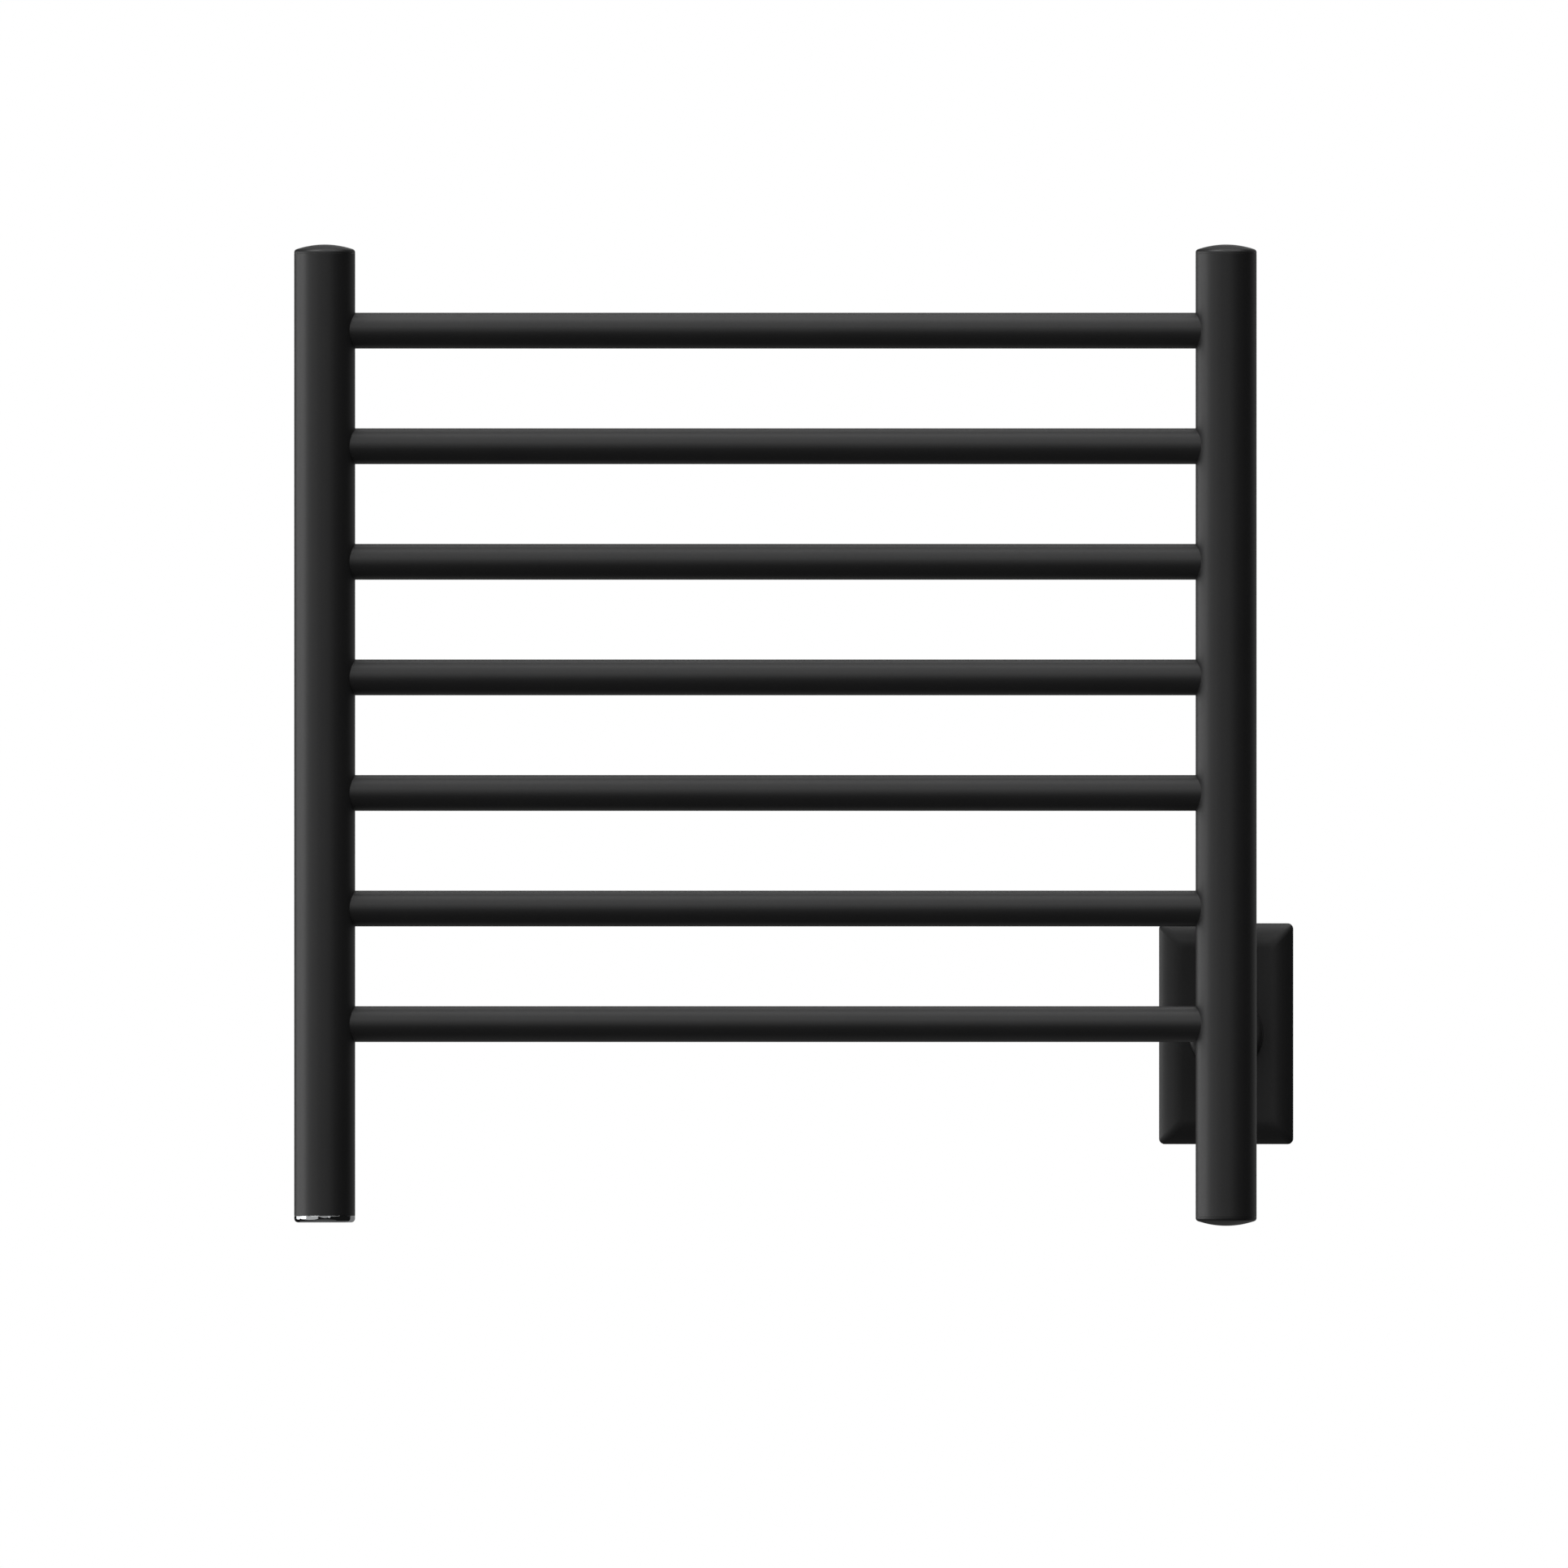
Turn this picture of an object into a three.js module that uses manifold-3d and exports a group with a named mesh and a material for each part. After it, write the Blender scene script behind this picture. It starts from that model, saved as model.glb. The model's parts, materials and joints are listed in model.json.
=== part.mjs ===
// A wall-mounted electric towel warmer: two round posts joined by seven horizontal bars.
// The frame is powder-coated steel tube, and one heating cable runs through every bar.
// The right post is fed from a wall plate by a hollow arm, and three standoffs hold the rest.
// A push switch closes the lower end of the left post.
// Millimetres. The origin is on the wall, at the centre of the wall plate.
// +X points right, +Y into the wall and +Z up, so the rack's front faces -Y.

import * as THREE from "three";
import { mergeVertices } from "three/addons/utils/BufferGeometryUtils.js";
import Module from "manifold-3d";

const wasm = await Module();
wasm.setup();

// ---- Driving dimensions ----

const GAP = 0.3; // clearance between pieces that touch

const POST_SPACING = 487.5; // between the two posts' axes
const POST_RADIUS = 16.5;
const POST_WALL = 1.5;
const POST_Y = -97.5; // the posts' and bars' axes stand this far off the wall
const RACK_TOP_Z = 426.8; // highest point of the top caps
const RACK_BOTTOM_Z = -103.9; // lowest point of the bottom cap
const SWITCH_FACE_Z = -102.1; // underside of the switch bezel

const BAR_COUNT = 7;
const BAR_PITCH = 62.5;
const BOTTOM_BAR_Z = 5.2;
const BAR_RADIUS = 9.7;
const BAR_WALL = 1.2;
const PASSAGE_RADIUS = 7; // hole in a post's wall where the cable enters a bar

const CAP_HEIGHT = 4.4; // from the cap's seat to the top of its dome
const CAP_DOME_RADIUS = 47.5;
const CAP_EDGE_RADIUS = 1.9;
const SPIGOT_LENGTH = 8;

const PLATE_WIDTH = 72.6;
const PLATE_HEIGHT = 119.5;
const PLATE_DEPTH = 10;
const PLATE_RIM = 4.2; // straight part of the plate's side
const PLATE_BORDER = 13; // width of the curved border round the flat middle
const PLATE_CORNER = 3.1;
const PLATE_SHEET = 1.6;

const ARM_RADIUS = 12.5;
const ARM_BORE = 10;
const ARM_END_Y = -1;
const LOCKNUT_RADIUS = 18.4; // across its corners
const LOCKNUT_THICKNESS = 3;
const BUSHING_LENGTH = 14;
const COLLAR_RADIUS = 20.2;
const COLLAR_LENGTH = 8;
const COLLAR_EDGE = 2;

const STRAP_WIDTH = 40;
const STRAP_HEIGHT = 108;
const STRAP_FRONT_Y = -2;
const STRAP_BACK_Y = -0.5;
const STRAP_TAB_WIDTH = 12;
const STRAP_TAB_DEPTH = 2.6; // how far the bent ends reach in front of the strap
const STRAP_SHEET = STRAP_BACK_Y - STRAP_FRONT_Y;
const STRAP_CORNER = 4;
const BOX_SCREW_SPACING = 83.3; // a single-gang box's two screw holes
const BOX_SLOT_LENGTH = 9;
const BOX_SLOT_WIDTH = 4.4;
const PLATE_SCREW_Y = -2.6;
const PLATE_SCREW_RADIUS = 1.5;
const GROUND_SCREW_Z = -27;
const GROUND_SCREW_RADIUS = 1.4;
const GROUND_HEAD_RADIUS = 3.2;
const GROUND_HEAD_FRONT_Y = -4.2;
const GROUND_HEAD_CHAMFER = 0.8;

const BOSS_RADIUS = 15;
const BOSS_LENGTH = 18;
const BOSS_BASE = 4;
const BOSS_EDGE = 1.5;
const STEM_RADIUS = 9;
const STEM_BORE = 7.5;
const WALL_SCREW_RADIUS = 2.6;
const BOSS_SCREW_RADIUS = 2;
const BOSS_SCREW_Y = -11;

const CABLE_RADIUS = 2.5;
const LEAD_RADIUS = 1.6;
const TURN_RADIUS = 12; // the heating cable's bend where it turns from a bar into a post
const LEAD_BEND = 8;
const CROSSOVER_START = 12; // above the second bar, where the riser starts to lean forward
const CROSSOVER_LENGTH = 26;
const CABLE_Y = POST_Y - 3.4; // the bars' cable runs in front of the posts' axes
const LEAD_Y = POST_Y + 4.4; // the riser and the leads run behind them

const BEZEL_THICKNESS = 3.3;
const BEZEL_EDGE = 2.2;
const BEZEL_BORE = 10.3;
const BEZEL_TOP_Z = -86;
const BEZEL_LEDGE = 2;
const BUTTON_RADIUS = 10;
const BUTTON_FACE_Z = -101.8;
const BUTTON_DISC_TOP_Z = -96.5;
const BUTTON_EDGE = 0.6;
const STEM_TOP_Z = -80;
const PLUNGER_RADIUS = 4.1;
const LENS_RADIUS = 2.2;
const LENS_DEPTH = 2.7;
const SEAL_LOW_Z = -95;
const SEAL_HIGH_Z = -93;
const SEAL_INNER = 12.6;
const SEAL_SQUEEZE = 0.2; // the seal's clearance in its groove and in the tube
const SWITCH_RADIUS = 12;
const SWITCH_TOP_Z = -62;
const SWITCH_NECK_RADIUS = 6.7;
const SWITCH_BORE_TOP_Z = -72;
const SWITCH_NECK_END_Z = -91.3;
const SWITCH_NUT_HEIGHT = 2.7;
const SWITCH_NUT_RADIUS = 9.9;
const SPRING_RADIUS = 3.3;
const SPRING_WIRE = 0.35;
const SPRING_TURNS = 4;
const TERMINAL_X = 5;
const TERMINAL_WIDTH = 2.8;
const TERMINAL_THICKNESS = 0.8;
const TERMINAL_LOW_Z = -66;
const TERMINAL_TOP_Z = -54;

const CUTOFF_TOP_Z = -30.3;
const CUTOFF_X = 4;
const CUTOFF_WIDTH = 8.4;
const CUTOFF_THICKNESS = 4.6;
const CUTOFF_LENGTH = 20;
const CUTOFF_CORNER = 1.2;
const CUTOFF_LEAD_OFFSET = 2.2;
const SPLICE_X = -4.9;
const SPLICE_RADIUS = 4.8;
const SPLICE_LENGTH = 22;
const SPLICE_CABLE_OFFSET = -1.8;
const SPLICE_LEAD_OFFSET = 2.7;
const LEAD_EXIT_Z = -3; // height at which the leads leave through the arm

const POST_SIDES = 32;
const BAR_SIDES = 24;
const SMALL_SIDES = 20;
const HOLE_SIDES = 12;
const CABLE_SIDES = 8;
const SPRING_WIRE_SIDES = 5;
const HEXAGON = 6;
const BEND_STEPS = 3;
const EDGE_STEPS = 2;
const DOME_STEPS = 3;
const BORDER_STEPS = 4;

// ---- Derived places ----

const LEFT_X = -POST_SPACING;
const RIGHT_X = 0;
const POST_BORE = POST_RADIUS - POST_WALL;
const POST_TOP_Z = RACK_TOP_Z - CAP_HEIGHT - GAP;
const RIGHT_BOTTOM_Z = RACK_BOTTOM_Z + CAP_HEIGHT + GAP;
const BEZEL_SEAT_Z = SWITCH_FACE_Z + BEZEL_THICKNESS;
const LEFT_BOTTOM_Z = BEZEL_SEAT_Z + GAP;
const SPIGOT_RADIUS = POST_BORE - GAP;
const BAR_HEIGHTS = Array.from(
  { length: BAR_COUNT },
  (_, i) => BOTTOM_BAR_Z + BAR_PITCH * (BAR_COUNT - 1 - i),
);
const UPPER_STANDOFF_Z = (BAR_HEIGHTS[0] + BAR_HEIGHTS[1]) / 2;

// ---- Finishes ----

const FINISHES = {
  blackCoat: { color: 0x1c1c1d, roughness: 0.55, metalness: 0.1 },
  chrome: { color: 0xd9dadb, roughness: 0.08, metalness: 1 },
  zincSteel: { color: 0xb3b5b6, roughness: 0.4, metalness: 1 },
  springSteel: { color: 0x8f9294, roughness: 0.3, metalness: 1 },
  brass: { color: 0xc6a254, roughness: 0.35, metalness: 1 },
  blackPlastic: { color: 0x17171a, roughness: 0.6, metalness: 0 },
  ivoryPlastic: { color: 0xdedac8, roughness: 0.55, metalness: 0 },
  blackRubber: { color: 0x141414, roughness: 0.9, metalness: 0 },
  brownSilicone: { color: 0x6e2f22, roughness: 0.7, metalness: 0 },
  blackLead: { color: 0x1a1a1a, roughness: 0.6, metalness: 0 },
  whiteLead: { color: 0xe6e6e2, roughness: 0.6, metalness: 0 },
  greenCoat: { color: 0x1f7a3a, roughness: 0.45, metalness: 0.2 },
  smokedLens: { color: 0xb7c3cc, roughness: 0.15, metalness: 0 },
};

// ---- Geometry helpers ----

// A closed geometry as a solid that can be cut and joined.
function solidOf(geometry) {
  const plain = geometry.clone();
  plain.deleteAttribute("normal");
  plain.deleteAttribute("uv");
  const merged = mergeVertices(plain, 1e-4);
  return new wasm.Manifold(
    new wasm.Mesh({
      numProp: 3,
      vertProperties: merged.attributes.position.array,
      triVerts: new Uint32Array(merged.index.array),
    }),
  );
}

// A solid back as a geometry with flat-shaded faces.
function geometryOf(solid) {
  const mesh = solid.getMesh();
  const geometry = new THREE.BufferGeometry();
  geometry.setAttribute("position", new THREE.BufferAttribute(mesh.vertProperties, mesh.numProp));
  geometry.setIndex(new THREE.BufferAttribute(mesh.triVerts, 1));
  const faceted = geometry.toNonIndexed();
  faceted.computeVertexNormals();
  return faceted;
}

function cut(geometry, ...cutters) {
  const remaining = cutters.reduce(
    (solid, cutter) => solid.subtract(solidOf(cutter)),
    solidOf(geometry),
  );
  return geometryOf(remaining);
}

// A profile of [radius, height] pairs turned about the Y axis.
function turned(profile, sides) {
  return new THREE.LatheGeometry(
    profile.map(([radius, height]) => new THREE.Vector2(radius, height)),
    sides,
  );
}

const upright = (geometry) => geometry.rotateX(Math.PI / 2); // axis Y becomes axis Z
const sideways = (geometry) => geometry.rotateZ(-Math.PI / 2); // axis Y becomes axis X

function rod(radius, low, high, sides) {
  return turned([[0, low], [radius, low], [radius, high], [0, high]], sides);
}

function ring(inner, outer, low, high, sides) {
  return turned([[outer, low], [outer, high], [inner, high], [inner, low], [outer, low]], sides);
}

// Points of a circular arc in the profile plane; angles in radians from the radius axis.
function arc(centreRadius, centreHeight, radius, from, to, steps) {
  return Array.from({ length: steps + 1 }, (_, i) => {
    const angle = from + ((to - from) * i) / steps;
    return [centreRadius + radius * Math.cos(angle), centreHeight + radius * Math.sin(angle)];
  });
}

function roundSection(radius, sides) {
  return new THREE.Shape(
    Array.from({ length: sides }, (_, i) => {
      const angle = (2 * Math.PI * i) / sides;
      return new THREE.Vector2(radius * Math.cos(angle), radius * Math.sin(angle));
    }),
  );
}

function roundedRectangle(width, height, radius) {
  const shape = new THREE.Shape();
  const x = width / 2 - radius;
  const y = height / 2 - radius;
  shape.absarc(x, y, radius, 0, Math.PI / 2);
  shape.absarc(-x, y, radius, Math.PI / 2, Math.PI);
  shape.absarc(-x, -y, radius, Math.PI, (3 * Math.PI) / 2);
  shape.absarc(x, -y, radius, (3 * Math.PI) / 2, 2 * Math.PI);
  return shape;
}

function extruded(shape, depth, curveSegments = 4) {
  return new THREE.ExtrudeGeometry(shape, { depth, bevelEnabled: false, curveSegments });
}

// A shape drawn in X and Z, given its thickness from y = front back to y = back.
function facingWall(shape, front, back, curveSegments) {
  return extruded(shape, back - front, curveSegments)
    .rotateX(Math.PI / 2)
    .translate(0, back, 0);
}

// The rounded corner of a cable between two straight runs.
function roundedCorner(before, corner, after, radius) {
  const incoming = corner.clone().sub(before).normalize();
  const outgoing = after.clone().sub(corner).normalize();
  const turn = incoming.angleTo(outgoing);
  const start = corner.clone().addScaledVector(incoming, -radius * Math.tan(turn / 2));
  const inward = outgoing.clone().addScaledVector(incoming, -Math.cos(turn)).normalize();
  const centre = start.clone().addScaledVector(inward, radius);
  return Array.from({ length: BEND_STEPS + 1 }, (_, i) => {
    const angle = (turn * i) / BEND_STEPS;
    return centre
      .clone()
      .addScaledVector(inward, -radius * Math.cos(angle))
      .addScaledVector(incoming, radius * Math.sin(angle));
  });
}

// A cable's centre line: straight runs between corner points, with every corner rounded.
class CableRoute extends THREE.Curve {
  constructor(corners, bendRadius) {
    super();
    const places = corners.map(([x, y, z]) => new THREE.Vector3(x, y, z));
    this.points = [places[0]];
    for (let i = 1; i < places.length - 1; i += 1) {
      this.points.push(...roundedCorner(places[i - 1], places[i], places[i + 1], bendRadius));
    }
    this.points.push(places[places.length - 1]);
  }

  getPoint(t, target = new THREE.Vector3()) {
    const place = t * (this.points.length - 1);
    const index = Math.min(Math.floor(place), this.points.length - 2);
    return target.lerpVectors(this.points[index], this.points[index + 1], place - index);
  }

  // Sections stand on the route's own points, so straight runs need none between.
  getUtoTmapping(u) {
    return u;
  }
}

function cable(corners, radius, bendRadius) {
  const route = new CableRoute(corners, bendRadius);
  return new THREE.ExtrudeGeometry(roundSection(radius, CABLE_SIDES), {
    steps: route.points.length - 1,
    extrudePath: route,
  });
}

class Helix extends THREE.Curve {
  constructor(radius, low, high, turns) {
    super();
    Object.assign(this, { radius, low, high, turns });
  }

  getPoint(t, target = new THREE.Vector3()) {
    const angle = 2 * Math.PI * this.turns * t;
    const height = THREE.MathUtils.lerp(this.low, this.high, t);
    return target.set(this.radius * Math.cos(angle), this.radius * Math.sin(angle), height);
  }
}

// ---- The assembly ----

const rack = new THREE.Group();

function place(name, geometry, finish, position = [0, 0, 0], rotation = [0, 0, 0]) {
  const mesh = new THREE.Mesh(geometry, new THREE.MeshStandardMaterial(FINISHES[finish]));
  mesh.name = name;
  mesh.position.set(...position);
  mesh.rotation.set(...rotation);
  rack.add(mesh);
}

// A post's tube, with a passage into each bar on the side that faces the other post.
function postTube(bottom, side) {
  const reach = POST_RADIUS + 1;
  const tube = upright(ring(POST_BORE, POST_RADIUS, bottom, POST_TOP_Z, POST_SIDES));
  const passages = BAR_HEIGHTS.map((z) => {
    const low = side > 0 ? 0 : -reach;
    return sideways(rod(PASSAGE_RADIUS, low, low + reach, HOLE_SIDES)).translate(0, 0, z);
  });
  return cut(tube, ...passages);
}

// What a piece welded to a post is cut back by, standing on the post's axis.
function postEnvelope(halfLength) {
  return upright(rod(POST_RADIUS + GAP, -halfLength, halfLength, POST_SIDES));
}

function addPosts() {
  place("left_post", postTube(LEFT_BOTTOM_Z, 1), "blackCoat", [LEFT_X, POST_Y, 0]);
  const armHole = rod(ARM_BORE, 0, POST_RADIUS + 1, SMALL_SIDES);
  const rightTube = cut(postTube(RIGHT_BOTTOM_Z, -1), armHole);
  place("right_post", rightTube, "blackCoat", [RIGHT_X, POST_Y, 0]);
}

// A bar between the posts, its ends hollowed to sit against them.
function addBars() {
  const half = POST_SPACING / 2;
  const tube = sideways(ring(BAR_RADIUS - BAR_WALL, BAR_RADIUS, -half, half, BAR_SIDES));
  const leftEnd = postEnvelope(2 * BAR_RADIUS).translate(-half, 0, 0);
  const rightEnd = postEnvelope(2 * BAR_RADIUS).translate(half, 0, 0);
  const bar = cut(tube, leftEnd, rightEnd);
  BAR_HEIGHTS.forEach((z, i) => {
    place(`bar_${i + 1}`, bar.clone(), "blackCoat", [-half, POST_Y, z]);
  });
}

// A domed plug that closes a post's end; its seat is at height 0 and the dome points up.
function endCap() {
  const domeCentre = CAP_HEIGHT - CAP_DOME_RADIUS;
  const edgeCentreRadius = POST_RADIUS - CAP_EDGE_RADIUS;
  const edgeAngle = Math.acos(edgeCentreRadius / (CAP_DOME_RADIUS - CAP_EDGE_RADIUS));
  const edgeHeight = domeCentre + (CAP_DOME_RADIUS - CAP_EDGE_RADIUS) * Math.sin(edgeAngle);
  return upright(
    turned(
      [
        [0, -SPIGOT_LENGTH],
        [SPIGOT_RADIUS, -SPIGOT_LENGTH],
        [SPIGOT_RADIUS, 0],
        [POST_RADIUS, 0],
        ...arc(edgeCentreRadius, edgeHeight, CAP_EDGE_RADIUS, 0, edgeAngle, EDGE_STEPS),
        ...arc(0, domeCentre, CAP_DOME_RADIUS, edgeAngle, Math.PI / 2, DOME_STEPS).slice(1, -1),
        [0, CAP_HEIGHT],
      ],
      POST_SIDES,
    ),
  );
}

function addCaps() {
  const topSeat = RACK_TOP_Z - CAP_HEIGHT;
  const bottomSeat = RACK_BOTTOM_Z + CAP_HEIGHT;
  place("cap_top_left", endCap(), "blackCoat", [LEFT_X, POST_Y, topSeat]);
  place("cap_top_right", endCap(), "blackCoat", [RIGHT_X, POST_Y, topSeat]);
  const upsideDown = [Math.PI, 0, 0];
  place("cap_bottom_right", endCap(), "blackCoat", [RIGHT_X, POST_Y, bottomSeat], upsideDown);
}

// The push switch in the left post's lower end.
function addSwitch() {
  const axis = [LEFT_X, POST_Y, 0];
  const ledgeLow = BEZEL_TOP_Z - BEZEL_LEDGE;
  const neckHole = SWITCH_NECK_RADIUS + GAP;
  const grooveRadius = SEAL_INNER - SEAL_SQUEEZE;
  const bezel = turned(
    [
      [BEZEL_BORE, SWITCH_FACE_Z],
      ...arc(
        POST_RADIUS - BEZEL_EDGE,
        SWITCH_FACE_Z + BEZEL_EDGE,
        BEZEL_EDGE,
        -Math.PI / 2,
        0,
        EDGE_STEPS,
      ),
      [POST_RADIUS, BEZEL_SEAT_Z],
      [SPIGOT_RADIUS, BEZEL_SEAT_Z],
      [SPIGOT_RADIUS, SEAL_LOW_Z - GAP],
      [grooveRadius, SEAL_LOW_Z - GAP],
      [grooveRadius, SEAL_HIGH_Z + GAP],
      [SPIGOT_RADIUS, SEAL_HIGH_Z + GAP],
      [SPIGOT_RADIUS, BEZEL_TOP_Z],
      [neckHole, BEZEL_TOP_Z],
      [neckHole, ledgeLow],
      [BEZEL_BORE, ledgeLow],
      [BEZEL_BORE, SWITCH_FACE_Z],
    ],
    POST_SIDES,
  );
  place("switch_bezel", upright(bezel), "chrome", axis);

  const seal = ring(SEAL_INNER, POST_BORE - SEAL_SQUEEZE, SEAL_LOW_Z, SEAL_HIGH_Z, SMALL_SIDES);
  place("bezel_seal", upright(seal), "blackRubber", axis);

  const bodyLow = BEZEL_TOP_Z + GAP;
  const plungerBore = PLUNGER_RADIUS + GAP;
  const housing = turned(
    [
      [0, SWITCH_BORE_TOP_Z],
      [plungerBore, SWITCH_BORE_TOP_Z],
      [plungerBore, SWITCH_NECK_END_Z],
      [SWITCH_NECK_RADIUS, SWITCH_NECK_END_Z],
      [SWITCH_NECK_RADIUS, bodyLow],
      [SWITCH_RADIUS, bodyLow],
      [SWITCH_RADIUS, SWITCH_TOP_Z],
      [0, SWITCH_TOP_Z],
    ],
    SMALL_SIDES,
  );
  const socketHeight = SWITCH_TOP_Z - TERMINAL_LOW_Z + 2 * GAP;
  const sockets = [-TERMINAL_X, TERMINAL_X].map((x) =>
    new THREE.BoxGeometry(
      TERMINAL_WIDTH + 2 * GAP,
      TERMINAL_THICKNESS + 2 * GAP,
      socketHeight,
    ).translate(x, LEAD_Y - POST_Y, TERMINAL_LOW_Z - GAP + socketHeight / 2),
  );
  place("switch_body", cut(upright(housing), ...sockets), "blackPlastic", axis);

  const nutTop = ledgeLow - GAP;
  const nut = cut(
    upright(rod(SWITCH_NUT_RADIUS, nutTop - SWITCH_NUT_HEIGHT, nutTop, HEXAGON)),
    upright(rod(neckHole, nutTop - SWITCH_NUT_HEIGHT - 1, nutTop + 1, SMALL_SIDES)),
  );
  place("switch_nut", nut, "zincSteel", axis);

  const springLow = STEM_TOP_Z + GAP + SPRING_WIRE;
  const springHigh = SWITCH_BORE_TOP_Z - GAP - SPRING_WIRE;
  const spring = new THREE.ExtrudeGeometry(roundSection(SPRING_WIRE, SPRING_WIRE_SIDES), {
    steps: SPRING_TURNS * HOLE_SIDES,
    extrudePath: new Helix(SPRING_RADIUS, springLow, springHigh, SPRING_TURNS),
  });
  place("switch_spring", spring, "springSteel", axis);

  const lensHole = LENS_RADIUS + GAP;
  const button = turned(
    [
      [0, BUTTON_FACE_Z + LENS_DEPTH + GAP],
      [lensHole, BUTTON_FACE_Z + LENS_DEPTH + GAP],
      [lensHole, BUTTON_FACE_Z],
      ...arc(
        BUTTON_RADIUS - BUTTON_EDGE,
        BUTTON_FACE_Z + BUTTON_EDGE,
        BUTTON_EDGE,
        -Math.PI / 2,
        0,
        EDGE_STEPS,
      ),
      [BUTTON_RADIUS, BUTTON_DISC_TOP_Z],
      [PLUNGER_RADIUS, BUTTON_DISC_TOP_Z],
      [PLUNGER_RADIUS, STEM_TOP_Z],
      [0, STEM_TOP_Z],
    ],
    BAR_SIDES,
  );
  place("switch_button", upright(button), "chrome", axis);

  const lens = rod(LENS_RADIUS, BUTTON_FACE_Z, BUTTON_FACE_Z + LENS_DEPTH, HOLE_SIDES);
  place("switch_lens", upright(lens), "smokedLens", axis);

  const terminalHeight = TERMINAL_TOP_Z - TERMINAL_LOW_Z;
  const terminalMiddle = (TERMINAL_TOP_Z + TERMINAL_LOW_Z) / 2;
  const blades = [["switch_terminal_load", -TERMINAL_X], ["switch_terminal_line", TERMINAL_X]];
  for (const [name, x] of blades) {
    const blade = new THREE.BoxGeometry(TERMINAL_WIDTH, TERMINAL_THICKNESS, terminalHeight);
    place(name, blade, "brass", [LEFT_X + x, LEAD_Y, terminalMiddle]);
  }
}

// The heating cable climbs the left post, zigzags down through the bars and ends in the right post.
function addHeatingCable() {
  const riserX = LEFT_X - TERMINAL_X;
  const crossoverLow = BAR_HEIGHTS[1] + CROSSOVER_START;
  const crossoverHigh = crossoverLow + CROSSOVER_LENGTH;
  const corners = [
    [riserX, LEAD_Y, TERMINAL_TOP_Z + GAP],
    [riserX, LEAD_Y, crossoverLow],
    [riserX, CABLE_Y, crossoverHigh],
    [riserX, CABLE_Y, BAR_HEIGHTS[0]],
  ];
  for (let i = 0; i < BAR_COUNT - 1; i += 1) {
    const turnX = i % 2 === 0 ? RIGHT_X : LEFT_X;
    corners.push([turnX, CABLE_Y, BAR_HEIGHTS[i]]);
    corners.push([turnX, CABLE_Y, BAR_HEIGHTS[i + 1]]);
  }
  const endX = RIGHT_X + SPLICE_X + SPLICE_CABLE_OFFSET;
  corners.push([endX, CABLE_Y, BOTTOM_BAR_Z]);
  corners.push([endX, CABLE_Y, CUTOFF_TOP_Z + GAP]);
  place("heating_cable", cable(corners, CABLE_RADIUS, TURN_RADIUS), "brownSilicone");
}

// The thin leads and the two small parts that they join, in the right post's lower end.
function addWiring() {
  const lineX = RIGHT_X + CUTOFF_X + CUTOFF_LEAD_OFFSET;
  const switchX = RIGHT_X + CUTOFF_X - CUTOFF_LEAD_OFFSET;
  const neutralX = RIGHT_X + SPLICE_X + SPLICE_LEAD_OFFSET;
  const leadStart = CUTOFF_TOP_Z + GAP;
  const lineRoute = [
    [lineX, ARM_END_Y, LEAD_EXIT_Z],
    [lineX, LEAD_Y, LEAD_EXIT_Z],
    [lineX, LEAD_Y, leadStart],
  ];
  place("line_lead", cable(lineRoute, LEAD_RADIUS, LEAD_BEND), "blackLead");
  const switchRoute = [
    [switchX, LEAD_Y, leadStart],
    [switchX, LEAD_Y, BOTTOM_BAR_Z],
    [LEFT_X + TERMINAL_X, LEAD_Y, BOTTOM_BAR_Z],
    [LEFT_X + TERMINAL_X, LEAD_Y, TERMINAL_TOP_Z + GAP],
  ];
  place("switch_lead", cable(switchRoute, LEAD_RADIUS, LEAD_BEND), "blackLead");
  const neutralRoute = [
    [neutralX, CABLE_Y, leadStart],
    [neutralX, CABLE_Y, LEAD_EXIT_Z],
    [neutralX, ARM_END_Y, LEAD_EXIT_Z],
  ];
  place("neutral_lead", cable(neutralRoute, LEAD_RADIUS, LEAD_BEND), "whiteLead");

  const cutoffOutline = roundedRectangle(CUTOFF_WIDTH, CUTOFF_THICKNESS, CUTOFF_CORNER);
  const cutoff = extruded(cutoffOutline, CUTOFF_LENGTH);
  const cutoffPlace = [RIGHT_X + CUTOFF_X, LEAD_Y, CUTOFF_TOP_Z - CUTOFF_LENGTH];
  place("thermal_cutoff", cutoff, "ivoryPlastic", cutoffPlace);

  const tipHeight = SPLICE_RADIUS - SPLICE_LENGTH;
  const splice = turned(
    [
      [0, -SPLICE_LENGTH],
      ...arc(0, tipHeight, SPLICE_RADIUS, -Math.PI / 2, 0, DOME_STEPS).slice(1),
      [SPLICE_RADIUS, 0],
      [0, 0],
    ],
    HOLE_SIDES,
  );
  const splicePlace = [RIGHT_X + SPLICE_X, CABLE_Y, CUTOFF_TOP_Z];
  place("neutral_splice", upright(splice), "ivoryPlastic", splicePlace);
}

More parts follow.
